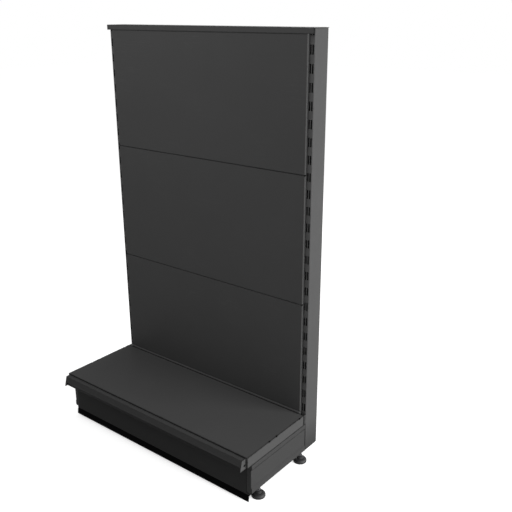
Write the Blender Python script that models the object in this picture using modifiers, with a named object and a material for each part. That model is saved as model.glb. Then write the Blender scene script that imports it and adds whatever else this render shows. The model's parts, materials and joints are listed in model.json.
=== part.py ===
"""Gondola end unit: the display that closes the end of a shop's shelving run.

Two slotted uprights are tied by four rails. Three folded back panels hang on the rails, and a cap
closes the top. Two base legs hook into the uprights and carry the base shelf with its price strip,
the plinth with its floor seal, and four levelling feet that screw in and out.

Units are metres and +Z is up. The shopper stands on the -Y side. The origin lies on the floor below
the middle of the unit's box.
"""

import math

import bmesh
import bpy
from mathutils import Matrix, Vector

# Overall sizes
MODULE_WIDTH = 0.800        # between the axes of the two uprights
OVERALL_HEIGHT = 1.350
SHELF_DEPTH = 0.300         # from the uprights' front faces to the shelf's front edge
FIT_GAP = 0.0003            # between pieces that touch
FOLD_RADIUS = 0.0005        # inside the folds of thin sheet
FOLD_STEPS = 4              # facets round a square fold
SAME_PLACE = 0.00001        # points closer than this are one

# Uprights
POST_WIDTH = 0.020
POST_DEPTH = 0.065
POST_WALL = 0.002
POST_CORNER = 0.0015
POST_BOTTOM = 0.038
SLOT_PITCH = 0.050
SLOT_WIDTH = 0.0052
SLOT_HEIGHT = 0.026
SLOT_SPACING = 0.0076       # between the two slots of a pair
FIRST_SLOT_DROP = 0.0065    # from the top of the unit to the middle of the first pair
SLOT_EDGE = 0.006           # least metal below the last slot

# Back panels
PANEL_COUNT = 3
PANEL_BOTTOM = 0.1483
PANEL_SEAM = 0.0015
PANEL_SHEET = 0.001
PANEL_PROUD = 0.009         # from the uprights' front faces to the panel's face
PANEL_LAP = 0.002           # how far a panel covers each upright
PANEL_FLANGE = 0.008        # side flange between the uprights
PANEL_HOOK_DROP = 0.014     # lip that drops behind the rail
PANEL_HOOK_INSET = 0.004    # from the panel's side fold to the end of its hook
PANEL_FOOT_FOLD = 0.012

# Tie rails
RAIL_SHEET = 0.0015
RAIL_WEB_GAP = 0.002        # from the panels' side flanges to the rail's web
RAIL_HEIGHT = 0.040
RAIL_REAR_LIP = 0.012
RAIL_REAR_GAP = 0.018       # from the rail's rear lip to the uprights' rear faces
BASE_RAIL_TOP = 0.128
TAB_HEIGHT = 0.034
BOLT_RADIUS = 0.004
BOLT_HEAD_FLATS = 0.013
BOLT_HEAD_HEIGHT = 0.0053
BOLT_REACH = 0.003          # thread showing inside the upright
BOLT_CLEARANCE = 0.0003     # round the shank

# Top cap
CAP_SHEET = 0.0012
CAP_SKIRT = 0.016
CAP_OVERHANG = 0.002

# Base legs
LEG_WALL = 0.002
LEG_BOTTOM = 0.0345
LEG_TOP = 0.136
LEG_FRONT_SETBACK = 0.020   # from the shelf's front edge to the leg's front
LEG_LIP = 0.010
LEG_TOP_RIDGE = 0.015
LEG_LOW_RIDGE = 0.018
LEG_SWAGE = 0.0025          # depth of the pressed panel between the ridges
LEG_SWAGE_SLOPE = 0.004
LEG_FOLD_RADIUS = 0.001     # inside the leg's folds
LEG_FRONT_STEP = 0.0002     # from the welded front plate to the channel's outer faces

# Hook plates at the rear of the legs
HOOK_PLATE = 0.003
HOOK_PLATE_DEPTH = 0.060
HOOK_PLATE_NARROW = 0.0085  # at the lower hook, behind the rear foot
HOOK_NECK = 0.0115
HOOK_LIP = 0.0035
HOOK_DROP = 0.0075
HOOK_RISE = 0.012           # plate above its top hook
HOOK_WELD_HEIGHT = 0.017    # flange welded to the leg

# Base shelf
SHELF_TOP = 0.1725
SHELF_SHEET = 0.0012
SHELF_RETURN = 0.0065       # at the foot of the side bands, outside the end plates
SHELF_UPSTAND = 0.008
SHELF_REAR_GAP = 0.0025     # from the upstand to the panel's face
SHELF_FRONT_FOLD = 0.022
SHELF_FRONT_RETURN = 0.012
SHELF_CORNER_RELIEF = 0.007
EDGE_NOTCH_WIDTH = 0.005
EDGE_NOTCH_DEPTH = 0.0035
EDGE_NOTCH_FIRST = 0.1565   # from the uprights' front faces
EDGE_NOTCH_SPACING = 0.035
REAR_NOTCH = 0.007
REAR_NOTCH_SETBACK = 0.034
STIFFENER_WIDTH = 0.060
STIFFENER_HEIGHT = 0.025
STIFFENER_SLOPE = 0.008
STIFFENER_FLANGE = 0.012
STIFFENER_SHEET = 0.001
STIFFENER_SETBACK = 0.155
STIFFENER_INSET = 0.025     # from the shelf's side to the stiffener's end

# Price strip along the shelf's front
STRIP_SHEET = 0.0012
STRIP_REACH = 0.0238        # from the shelf's front edge to the tips of the end plates
STRIP_STEP = 0.0035         # from the shelf's top down to the strip's top land
STRIP_TOP_WIDTH = 0.0145
STRIP_DROP = 0.0385         # from the shelf's top to the strip's lower edge
STRIP_FACE_SHARE = 0.6      # of an end plate's front edge, above the fold of the strip's lip
STRIP_LIP_BACK = 0.005
STRIP_FOOT = 0.011          # how far the strip's foot passes behind the shelf's front edge
STRIP_REAR_FLANGE = 0.024   # from the shelf's top to the lower edge of the strip's rear flange
STRIP_END_INSET = 0.007     # from the shelf's side to the strip's end
STRIP_END_PLATE = 0.002
STRIP_HOLE_RADIUS = 0.002
STRIP_HOLE_FORWARD = 0.0045  # from the shelf's front edge to the end plate's hole
STRIP_HOLE_DROP = 0.025     # from the shelf's top

# Plinth and floor seal
PLINTH_SHEET = 0.001
PLINTH_TOP = 0.128
PLINTH_BOTTOM = 0.026       # its lower part passes under the legs
PLINTH_FOLD = 0.015
PLINTH_END_GAP = 0.0005
SEAL_THICKNESS = 0.002
SEAL_BOTTOM = 0.005
SEAL_FLANGE = 0.016
SEAL_SLANT = 0.003
SEAL_PROUD = 0.001
CLIP_SHEET = 0.001
CLIP_HEIGHT = 0.030
CLIP_GRIP = 0.022           # along the back of the plinth
CLIP_TONGUE = 0.012         # behind the leg's front

# Levelling feet
FOOT_FRONT_INSET = 0.045    # from the leg's front
FOOT_REAR_SETBACK = 0.0145  # from the uprights' front faces
PAD_RADIUS = 0.022
PAD_RIM = 0.005
PAD_SHOULDER = 0.0125
PAD_NECK_RADIUS = 0.0095
PAD_NECK_TOP = 0.0195
PAD_FLOOR = 0.006           # thickness under the stem
PAD_STEPS = 4               # facets down the crown
STEM_RADIUS = 0.005
STEM_TOP = 0.066
STEM_CLEARANCE = 0.0003     # round the stem
STEM_COLLAR_FLATS = 0.013
STEM_COLLAR_HEIGHT = 0.006
NUT_FLATS = 0.015
NUT_HEIGHT = 0.008
ROUND_STEPS = 24

# Places worked out from the sizes above
POST_FRONT = (SHELF_DEPTH + STRIP_REACH - POST_DEPTH) / 2
POST_REAR = POST_FRONT + POST_DEPTH
POST_TOP = OVERALL_HEIGHT - CAP_SHEET - FIT_GAP
HALF_OUTER = (MODULE_WIDTH + POST_WIDTH) / 2
HALF_CLEAR = (MODULE_WIDTH - POST_WIDTH) / 2
PANEL_TOP = POST_TOP
PANEL_HEIGHT = (PANEL_TOP - PANEL_BOTTOM) / PANEL_COUNT
PANEL_FACE = POST_FRONT - PANEL_PROUD
RAIL_WEB = POST_FRONT + PANEL_FLANGE + RAIL_WEB_GAP
RAIL_REAR = POST_REAR - RAIL_REAR_GAP
BOLT_DEPTH = (RAIL_WEB + RAIL_REAR) / 2
SHELF_FRONT = POST_FRONT - SHELF_DEPTH
SHELF_REAR = PANEL_FACE - SHELF_REAR_GAP - SHELF_SHEET
LEG_FRONT = SHELF_FRONT + LEG_FRONT_SETBACK
LEG_REAR = POST_FRONT - FIT_GAP
FOOT_DEPTHS = {"front": LEG_FRONT + FOOT_FRONT_INSET, "rear": POST_FRONT - FOOT_REAR_SETBACK}
SIDES = {"left": -1, "right": 1}
FOOT_PLACES = {
    f"{end}_{side_name}": (side * MODULE_WIDTH / 2, depth)
    for end, depth in FOOT_DEPTHS.items()
    for side_name, side in SIDES.items()
}

# Extruding a flat outline along an axis: the outline's own x and y lie along the other two.
AXIS_TURN = {
    "X": Matrix(((0, 0, 1), (1, 0, 0), (0, 1, 0))),
    "Y": Matrix(((1, 0, 0), (0, 0, -1), (0, 1, 0))),
    "Z": Matrix.Identity(3),
}


def clear_scene():
    """Remove what the scene holds, and make the two collections."""
    for old in list(bpy.data.objects):
        bpy.data.objects.remove(old, do_unlink=True)
    collections = []
    for name in ("gondola_end_unit", "cutters"):
        collection = bpy.data.collections.new(name)
        bpy.context.scene.collection.children.link(collection)
        collections.append(collection)
    return collections


PARTS, CUTTERS = clear_scene()


def make_material(name, colour, roughness, metallic):
    """A Principled material in one finish."""
    material = bpy.data.materials.new(name)
    material.use_nodes = True
    shader = material.node_tree.nodes["Principled BSDF"]
    shader.inputs["Base Color"].default_value = (*colour, 1.0)
    shader.inputs["Roughness"].default_value = roughness
    shader.inputs["Metallic"].default_value = metallic
    material.diffuse_color = (*colour, 1.0)
    return material


COATED_STEEL = make_material("coated_steel", (0.045, 0.046, 0.048), 0.45, 0.0)
BLACK_PVC = make_material("black_pvc", (0.008, 0.008, 0.008), 0.55, 0.0)
BLACK_NYLON = make_material("black_nylon", (0.020, 0.020, 0.021), 0.50, 0.0)
ZINC_PLATE = make_material("zinc_plate", (0.560, 0.560, 0.580), 0.35, 1.0)
BLACK_ZINC = make_material("black_zinc", (0.080, 0.080, 0.084), 0.40, 1.0)


def add_part(name, mesh, material, matrix=None):
    """Put a mesh in the unit's collection as a named piece."""
    part = bpy.data.objects.new(name, mesh)
    mesh.materials.append(material)
    PARTS.objects.link(part)
    if matrix:
        part.matrix_world = matrix
    return part


def add_cutter(name, mesh, matrix=None):
    """Put a mesh in the cutters' collection, out of the render."""
    cutter = bpy.data.objects.new(name, mesh)
    CUTTERS.objects.link(cutter)
    cutter.hide_render = True
    cutter.display_type = "WIRE"
    if matrix:
        cutter.matrix_world = matrix
    return cutter


def boolean(part, operand, operation):
    """Cut a piece with a cutter, or join a shape to it."""
    modifier = part.modifiers.new(operand.name, "BOOLEAN")
    modifier.operation = operation
    modifier.solver = "EXACT"
    modifier.object = operand


def box_mesh(name, low, high):
    """A box between two corners."""
    bm = bmesh.new()
    bmesh.ops.create_cube(bm, size=1.0)
    size = Vector(high) - Vector(low)
    middle = (Vector(high) + Vector(low)) / 2
    bmesh.ops.scale(bm, verts=bm.verts, vec=size)
    bmesh.ops.translate(bm, verts=bm.verts, vec=middle)
    return finish_mesh(bm, name)


def rod_mesh(name, radius, low, high, sides=ROUND_STEPS):
    """A cylinder, or a prism with few sides, along Z; its flats face X when it has six sides."""
    bm = bmesh.new()
    middle = Matrix.Translation((0, 0, (low + high) / 2))
    bmesh.ops.create_cone(bm, cap_ends=True, segments=sides, radius1=radius, radius2=radius,
                          depth=high - low, matrix=middle)
    return finish_mesh(bm, name)


def hexagon_radius(flats):
    """Corner radius of a hexagon with the given width across its flats."""
    return flats / math.sqrt(3)


def finish_mesh(bm, name):
    """Store an edited mesh and free the editor."""
    mesh = bpy.data.meshes.new(name)
    bm.to_mesh(mesh)
    bm.free()
    return mesh


def outline_mesh(name, outlines, length):
    """A flat outline, with any holes in it, extruded to a length along its own Z."""
    curve = bpy.data.curves.new(name, "CURVE")
    curve.dimensions = "2D"
    curve.fill_mode = "BOTH"
    curve.extrude = length / 2
    for outline in outlines:
        spline = curve.splines.new("POLY")
        spline.points.add(len(outline) - 1)
        for point, place in zip(spline.points, outline):
            point.co = (place[0], place[1], 0, 1)
        spline.use_cyclic_u = True
    guide = bpy.data.objects.new(name, curve)
    CUTTERS.objects.link(guide)
    graph = bpy.context.evaluated_depsgraph_get()
    mesh = bpy.data.meshes.new_from_object(guide.evaluated_get(graph))
    bpy.data.objects.remove(guide, do_unlink=True)
    bm = bmesh.new()
    bm.from_mesh(mesh)
    bmesh.ops.remove_doubles(bm, verts=bm.verts, dist=SAME_PLACE)
    bmesh.ops.recalc_face_normals(bm, faces=bm.faces)
    bm.to_mesh(mesh)
    bm.free()
    mesh.materials.clear()
    return mesh


def along(axis, middle):
    """Placement that turns an outline's own Z to an axis and moves it to its middle on that axis."""
    offset = Vector([middle if name == axis else 0 for name in "XYZ"])
    return Matrix.Translation(offset) @ AXIS_TURN[axis].to_4x4()


def rounded_line(line, thickness, inside):
    """A sheet's line with its folds rounded; the sheet lies inside the folds that turn left."""
    points = [Vector(point) for point in line]
    rounded = points[:1]
    for before, corner, after in zip(points, points[1:], points[2:]):
        arriving = (corner - before).normalized()
        leaving = (after - corner).normalized()
        turn = math.atan2(arriving.cross(leaving), arriving.dot(leaving))
        radius = inside + thickness if turn > 0 else inside
        start = corner - arriving * radius * math.tan(abs(turn) / 2)
        spoke = Vector((arriving.y, -arriving.x)) * math.copysign(radius, turn)
        steps = max(1, round(FOLD_STEPS * abs(turn) / (math.pi / 2)))
        for step in range(steps + 1):
            rounded.append(start - spoke + Matrix.Rotation(turn * step / steps, 2) @ spoke)
    return rounded + points[-1:]


def parallel_line(points, distance):
    """The line that runs beside another, to the left of its travel, with mitred corners."""
    steps = [(after - before).normalized() for before, after in zip(points, points[1:])]
    lefts = [Vector((-step.y, step.x)) for step in steps]
    parallel = []
    for index, point in enumerate(points):
        before = lefts[max(index - 1, 0)]
        after = lefts[min(index, len(lefts) - 1)]
        mitre = (before + after).normalized()
        parallel.append(point + mitre * distance / mitre.dot(after))
    return parallel


def sheet_outline(line, thickness, inside=FOLD_RADIUS):
    """Outline of a folded sheet: its outer line, and its other face to the left of travel."""
    points = rounded_line(line, thickness, inside)
    return points + parallel_line(points, thickness)[::-1]


def mirrored(outline, side):
    """The same outline on the left or the right."""
    return [(side * point[0], point[1]) for point in outline]


def circle_outline(centre, radius, steps=ROUND_STEPS):
    """Points of a circle in an outline's plane."""
    angles = [2 * math.pi * step / steps for step in range(steps)]
    return [(centre[0] + radius * math.cos(a), centre[1] + radius * math.sin(a)) for a in angles]


def turned_mesh_part(name, profile, material, place):
    """A turned piece: a profile in radius and height, carried round Z by a Screw modifier."""
    bm = bmesh.new()
    corners = [bm.verts.new((radius, 0, height)) for radius, height in profile]
    for first, second in zip(corners, corners[1:]):
        bm.edges.new((first, second))
    part = add_part(name, finish_mesh(bm, name), material, Matrix.Translation(place))
    screw = part.modifiers.new("turn", "SCREW")
    screw.steps = ROUND_STEPS
    screw.render_steps = ROUND_STEPS
    screw.use_merge_vertices = True
    screw.merge_threshold = SAME_PLACE
    screw.use_smooth_shade = False
    return part


def rim(bm, test):
    """Open edges whose two ends both pass a test on their place."""
    return [edge for edge in bm.edges if edge.is_boundary and all(test(v.co) for v in edge.verts)]


def extend(bm, edges, step):
    """Carry a sheet on from some of its edges, and return the new rim."""
    grown = bmesh.ops.extrude_edge_only(bm, edges=edges)["geom"]
    moved = {item for item in grown if isinstance(item, bmesh.types.BMVert)}
    bmesh.ops.translate(bm, verts=list(moved), vec=step)
    return [item for item in grown
            if isinstance(item, bmesh.types.BMEdge) and all(v in moved for v in item.verts)]


def fold(bm, edges, forward, bends):
    """Carry a sheet through square folds, each a direction, a length from its corner and a radius.

    The sheet travels forward, and its edges start one radius short of the first corner.
    """
    forward = Vector(forward)
    for index, (direction, length, radius) in enumerate(bends):
        turned = Vector(direction)
        reached = Vector()
        for step in range(1, FOLD_STEPS + 1):
            angle = math.pi / 2 * step / FOLD_STEPS
            place = radius * (forward * math.sin(angle) + turned * (1 - math.cos(angle)))
            edges = extend(bm, edges, place - reached)
            reached = place
        next_radius = bends[index + 1][2] if index + 1 < len(bends) else 0
        edges = extend(bm, edges, turned * (length - radius - next_radius))
        forward = turned


def split_sheet(bm, axis, place):
    """Score a sheet across an axis, so that a fold can stop there."""
    normal = Vector([1 if name == axis else 0 for name in "XYZ"])
    everything = list(bm.verts) + list(bm.edges) + list(bm.faces)
    bmesh.ops.bisect_plane(bm, geom=everything, plane_co=normal * place, plane_no=normal)


def folded_part(bm, name, thickness, outward, material):
    """Give a folded sheet its thickness, on the side away from the first face's outward direction."""
    bmesh.ops.recalc_face_normals(bm, faces=bm.faces)
    bm.faces.ensure_lookup_table()
    if bm.faces[0].normal.dot(Vector(outward)) < 0:
        bmesh.ops.reverse_faces(bm, faces=bm.faces)
    part = add_part(name, finish_mesh(bm, name), material)
    solidify = part.modifiers.new("thickness", "SOLIDIFY")
    solidify.thickness = thickness
    solidify.offset = -1.0
    solidify.use_even_offset = True
    solidify.use_quality_normals = True
    return part


def near(value, target):
    """Whether a coordinate lies on a line of the sheet."""
    return abs(value - target) < SAME_PLACE


def slot_heights():
    """Heights of the middles of the slot pairs, from the top down to the last that fits."""
    first = OVERALL_HEIGHT - FIRST_SLOT_DROP
    room = first - SLOT_HEIGHT / 2 - SLOT_EDGE - POST_BOTTOM
    return [first - row * SLOT_PITCH for row in range(int(room / SLOT_PITCH) + 1)]


def rail_tops():
    """Heights of the rails' top edges: one under each panel's hook, and the base rail."""
    hooks = [PANEL_TOP - index * PANEL_HEIGHT - PANEL_SHEET - FIT_GAP for index in range(PANEL_COUNT)]
    return hooks + [BASE_RAIL_TOP]


def bolt_height(rail_top):
    """Height of the bolt in a rail's end tab."""
    return rail_top - RAIL_HEIGHT + TAB_HEIGHT / 2


def build_upright(side_name):
    """A rectangular tube with twin slots down its front and bolt holes for the rails inside."""
    side = SIDES[side_name]
    axis_x = side * MODULE_WIDTH / 2
    half = POST_WIDTH / 2
    name = f"upright_{side_name}"
    tube = add_part(name, box_mesh(name, (-half, 0, POST_BOTTOM), (half, POST_DEPTH, POST_TOP)),
                    COATED_STEEL, Matrix.Translation((axis_x, POST_FRONT, 0)))
    corners = tube.data.attributes.new("bevel_weight_edge", "FLOAT", "EDGE")
    for edge in tube.data.edges:
        ends = [tube.data.vertices[index].co for index in edge.vertices]
        corners.data[edge.index].value = float(abs(ends[0].z - ends[1].z) > POST_DEPTH)
    bevel = tube.modifiers.new("corners", "BEVEL")
    bevel.limit_method = "WEIGHT"
    bevel.width = POST_CORNER
    bevel.segments = 2

    inner = half - POST_WALL
    bore = add_cutter(f"{name}_bore", box_mesh(
        f"{name}_bore", (-inner, POST_WALL, POST_BOTTOM - POST_WIDTH),
        (inner, POST_DEPTH - POST_WALL, POST_TOP + POST_WIDTH)), tube.matrix_world)
    boolean(tube, bore, "DIFFERENCE")

    heights = slot_heights()
    slots = add_cutter(f"{name}_slots", box_mesh(
        f"{name}_slots", (-SLOT_SPACING / 2 - SLOT_WIDTH / 2, -POST_WALL, heights[0] - SLOT_HEIGHT / 2),
        (-SLOT_SPACING / 2 + SLOT_WIDTH / 2, 2 * POST_WALL, heights[0] + SLOT_HEIGHT / 2)),
        tube.matrix_world)
    for label, count, step in (("pair", 2, (SLOT_SPACING, 0, 0)),
                               ("rows", len(heights), (0, 0, -SLOT_PITCH))):
        array = slots.modifiers.new(label, "ARRAY")
        array.count = count
        array.use_relative_offset = False
        array.use_constant_offset = True
        array.constant_offset_displace = step
    boolean(tube, slots, "DIFFERENCE")

    for index, top in enumerate(rail_tops()):
        hole_name = f"{name}_bolt_hole_{index}"
        hole = add_cutter(hole_name, rod_mesh(
            hole_name, BOLT_RADIUS + BOLT_CLEARANCE, -2 * POST_WALL, 2 * POST_WALL),
            Matrix.Translation((side * (HALF_CLEAR + POST_WALL / 2), BOLT_DEPTH, bolt_height(top)))
            @ Matrix.Rotation(math.pi / 2, 4, "Y"))
        boolean(tube, hole, "DIFFERENCE")


def build_panel(index, name):
    """A tray of sheet steel: side flanges between the uprights, a hook at the top, a fold below."""
    top = PANEL_TOP - index * PANEL_HEIGHT
    bottom = top - PANEL_HEIGHT + PANEL_SEAM
    outside = FOLD_RADIUS + PANEL_SHEET
    half = HALF_CLEAR + PANEL_LAP - outside
    high = top - outside
    low = bottom + outside
    hook_half = half - PANEL_HOOK_INSET
    bm = bmesh.new()
    bmesh.ops.create_grid(bm, x_segments=1, y_segments=1, size=0.5,
                          matrix=Matrix.Rotation(math.pi / 2, 4, "X"))
    bmesh.ops.scale(bm, verts=bm.verts, vec=(2 * half, 1, high - low))
    bmesh.ops.translate(bm, verts=bm.verts, vec=(0, PANEL_FACE, (high + low) / 2))
    split_sheet(bm, "X", hook_half)
    split_sheet(bm, "X", -hook_half)

    back = (0, 1, 0)
    lap_depth = POST_FRONT - FIT_GAP - PANEL_FACE
    for side in SIDES.values():
        edges = rim(bm, lambda co: near(co.x, side * half))
        fold(bm, edges, (side, 0, 0), [(back, lap_depth, outside),
                                       ((-side, 0, 0), PANEL_LAP + FIT_GAP, outside),
                                       (back, PANEL_FLANGE, FOLD_RADIUS)])

    hook_depth = RAIL_WEB + RAIL_SHEET + FIT_GAP + PANEL_SHEET - PANEL_FACE
    edges = rim(bm, lambda co: near(co.z, high) and abs(co.x) < hook_half + SAME_PLACE)
    fold(bm, edges, (0, 0, 1), [(back, hook_depth, outside), ((0, 0, -1), PANEL_HOOK_DROP, outside)])

    edges = rim(bm, lambda co: near(co.z, low) and abs(co.x) < hook_half + SAME_PLACE)
    fold(bm, edges, (0, 0, -1), [(back, PANEL_FOOT_FOLD, outside)])
    folded_part(bm, name, PANEL_SHEET, (0, -1, 0), COATED_STEEL)


def build_rail(name, top):
    """A folded rail between the uprights, with a bolted tab at each end."""
    bottom = top - RAIL_HEIGHT
    half = HALF_CLEAR - FIT_GAP
    line = [(RAIL_WEB, top), (RAIL_WEB, bottom), (RAIL_REAR, bottom), (RAIL_REAR, bottom + RAIL_REAR_LIP)]
    rail = add_part(name, outline_mesh(name, [sheet_outline(line, RAIL_SHEET)], 2 * half),
                    COATED_STEEL, along("X", 0))
    for side_name, side in SIDES.items():
        ends = sorted((side * half, side * (half - RAIL_SHEET)))
        tab_name = f"{name}_tab_{side_name}"
        low = (ends[0], RAIL_WEB + RAIL_SHEET / 2, bottom + RAIL_SHEET / 2)
        high = (ends[1], RAIL_REAR - RAIL_SHEET / 2, bottom + TAB_HEIGHT)
        boolean(rail, add_cutter(tab_name, box_mesh(tab_name, low, high)), "UNION")
        hole_name = f"{tab_name}_hole"
        place = Matrix.Translation((side * half, BOLT_DEPTH, bolt_height(top)))
        hole = add_cutter(hole_name, rod_mesh(
            hole_name, BOLT_RADIUS + BOLT_CLEARANCE, -2 * RAIL_SHEET, 2 * RAIL_SHEET),
            place @ Matrix.Rotation(math.pi / 2, 4, "Y"))
        boolean(rail, hole, "DIFFERENCE")
        build_rail_bolt(f"{name}_bolt_{side_name}", side, bolt_height(top))


def build_rail_bolt(name, side, height):
    """A hexagon bolt that holds a rail's tab to the upright's inner wall."""
    head_face = HALF_CLEAR - FIT_GAP - RAIL_SHEET - FIT_GAP
    reach = HALF_CLEAR + POST_WALL + BOLT_REACH - head_face
    place = Matrix.Translation((side * head_face, BOLT_DEPTH, height))
    place = place @ Matrix.Rotation(side * math.pi / 2, 4, "Y")
    head = rod_mesh(name, hexagon_radius(BOLT_HEAD_FLATS), -BOLT_HEAD_HEIGHT, 0, 6)
    bolt = add_part(name, head, ZINC_PLATE, place)
    shank = rod_mesh(f"{name}_shank", BOLT_RADIUS, -BOLT_HEAD_HEIGHT / 2, reach)
    boolean(bolt, add_cutter(f"{name}_shank", shank, place), "UNION")


def build_cap():
    """The cover over the uprights' tops: a skirt in front, and a short one between them behind."""
    front = PANEL_FACE - FIT_GAP - CAP_SHEET
    low = OVERALL_HEIGHT - CAP_SKIRT
    line = [(POST_REAR, low), (POST_REAR, OVERALL_HEIGHT), (front, OVERALL_HEIGHT), (front, low)]
    half = HALF_OUTER + CAP_OVERHANG
    cap = add_part("top_cap", outline_mesh("top_cap", [sheet_outline(line, CAP_SHEET)], 2 * half),
                   COATED_STEEL, along("X", 0))
    for side_name, side in SIDES.items():
        name = f"top_cap_notch_{side_name}"
        ends = sorted((side * (HALF_CLEAR - FIT_GAP), side * (half + POST_WIDTH)))
        notch = box_mesh(name, (ends[0], POST_REAR - POST_WIDTH, low - POST_WIDTH),
                         (ends[1], POST_REAR + POST_WIDTH, OVERALL_HEIGHT - CAP_SHEET))
        boolean(cap, add_cutter(name, notch), "DIFFERENCE")


def leg_line():
    """Outer line of the right leg's section, from its lower lip round to its upper lip."""
    outer = HALF_OUTER
    pressed = HALF_OUTER - LEG_SWAGE
    low_ridge = LEG_BOTTOM + LEG_LOW_RIDGE
    top_ridge = LEG_TOP - LEG_TOP_RIDGE
    return [(HALF_CLEAR, LEG_BOTTOM + LEG_LIP), (HALF_CLEAR, LEG_BOTTOM), (outer, LEG_BOTTOM),
            (outer, low_ridge), (pressed, low_ridge + LEG_SWAGE_SLOPE),
            (pressed, top_ridge - LEG_SWAGE_SLOPE), (outer, top_ridge), (outer, LEG_TOP),
            (HALF_CLEAR, LEG_TOP), (HALF_CLEAR, LEG_TOP - LEG_LIP)]


def build_leg(side_name):
    """A pressed channel with a closed front, open on its inner side, drilled for its feet."""
    side = SIDES[side_name]
    name = f"base_leg_{side_name}"
    outline = mirrored(sheet_outline(leg_line(), LEG_WALL, LEG_FOLD_RADIUS), side)
    channel_front = LEG_FRONT + LEG_FRONT_STEP
    leg = add_part(name, outline_mesh(name, [outline], LEG_REAR - channel_front), COATED_STEEL,
                   along("Y", (channel_front + LEG_REAR) / 2))

    front_name = f"{name}_front"
    outer = rounded_line(leg_line(), LEG_WALL, LEG_FOLD_RADIUS)
    plate = outline_mesh(front_name, [mirrored(parallel_line(outer, LEG_FRONT_STEP), side)], LEG_WALL)
    boolean(leg, add_cutter(front_name, plate, along("Y", LEG_FRONT + LEG_WALL / 2)), "UNION")

    relief_name = f"{name}_hook_relief"
    ends = sorted((side * (HALF_CLEAR - LEG_WALL), side * (HALF_OUTER - LEG_SWAGE - LEG_WALL)))
    relief = box_mesh(relief_name, (ends[0], LEG_REAR - HOOK_PLATE_DEPTH - LEG_WALL, LEG_TOP - 2 * LEG_LIP),
                      (ends[1], LEG_REAR + LEG_WALL, LEG_TOP + LEG_LIP))
    boolean(leg, add_cutter(relief_name, relief), "DIFFERENCE")

    for corner, (x, y) in FOOT_PLACES.items():
        if x * side > 0:
            hole_name = f"{name}_{corner}_hole"
            hole = rod_mesh(hole_name, STEM_RADIUS + STEM_CLEARANCE, LEG_BOTTOM - LEG_WALL,
                            LEG_BOTTOM + 2 * LEG_WALL)
            boolean(leg, add_cutter(hole_name, hole, Matrix.Translation((x, y, 0))), "DIFFERENCE")


def hook_outline(heights):
    """Side view of a hook plate: a rear edge with a hook in each slot, and a cut-away below."""
    rear = POST_FRONT - FIT_GAP
    wall = POST_FRONT + POST_WALL + FIT_GAP
    top = heights[0] + HOOK_RISE
    low = heights[-1] - SLOT_HEIGHT / 2 - HOOK_DROP
    knee = max(low, STEM_TOP) + HOOK_PLATE_NARROW / 2
    points = [(rear - HOOK_PLATE_NARROW, low), (rear, low)]
    for height in reversed(heights):
        seat = height - SLOT_HEIGHT / 2 + FIT_GAP
        points += [(rear, seat), (wall, seat), (wall, seat - HOOK_DROP), (wall + HOOK_LIP, seat - HOOK_DROP),
                   (wall + HOOK_LIP, seat + HOOK_NECK - HOOK_LIP), (wall, seat + HOOK_NECK),
                   (rear, seat + HOOK_NECK)]
    front = rear - HOOK_PLATE_DEPTH
    points += [(rear, top), (rear - HOOK_PLATE_NARROW, top), (front, LEG_TOP - LEG_TOP_RIDGE),
               (front, knee + HOOK_PLATE_NARROW), (rear - HOOK_PLATE_NARROW, knee)]
    return points


def build_hook_plate(side_name):
    """The plate welded inside a leg, whose hooks hang in the upright's inner slots."""
    side = SIDES[side_name]
    name = f"leg_hook_plate_{side_name}"
    slot_x = MODULE_WIDTH / 2 - SLOT_SPACING / 2
    limit = SHELF_TOP - 2 * SHELF_SHEET - HOOK_RISE
    heights = [height for height in slot_heights() if height < limit][:2]
    plate = add_part(name, outline_mesh(name, [hook_outline(heights)], HOOK_PLATE), COATED_STEEL,
                     along("X", side * slot_x))
    front = POST_FRONT - FIT_GAP - HOOK_PLATE_DEPTH
    inner_face = HALF_OUTER - LEG_SWAGE - LEG_WALL - FIT_GAP
    ends = sorted((side * slot_x, side * inner_face))
    weld_top = LEG_TOP - LEG_TOP_RIDGE - LEG_SWAGE_SLOPE
    flange_name = f"{name}_flange"
    flange = box_mesh(flange_name, (ends[0], front, weld_top - HOOK_WELD_HEIGHT),
                      (ends[1], front + HOOK_PLATE, weld_top))
    boolean(plate, add_cutter(flange_name, flange), "UNION")


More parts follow.
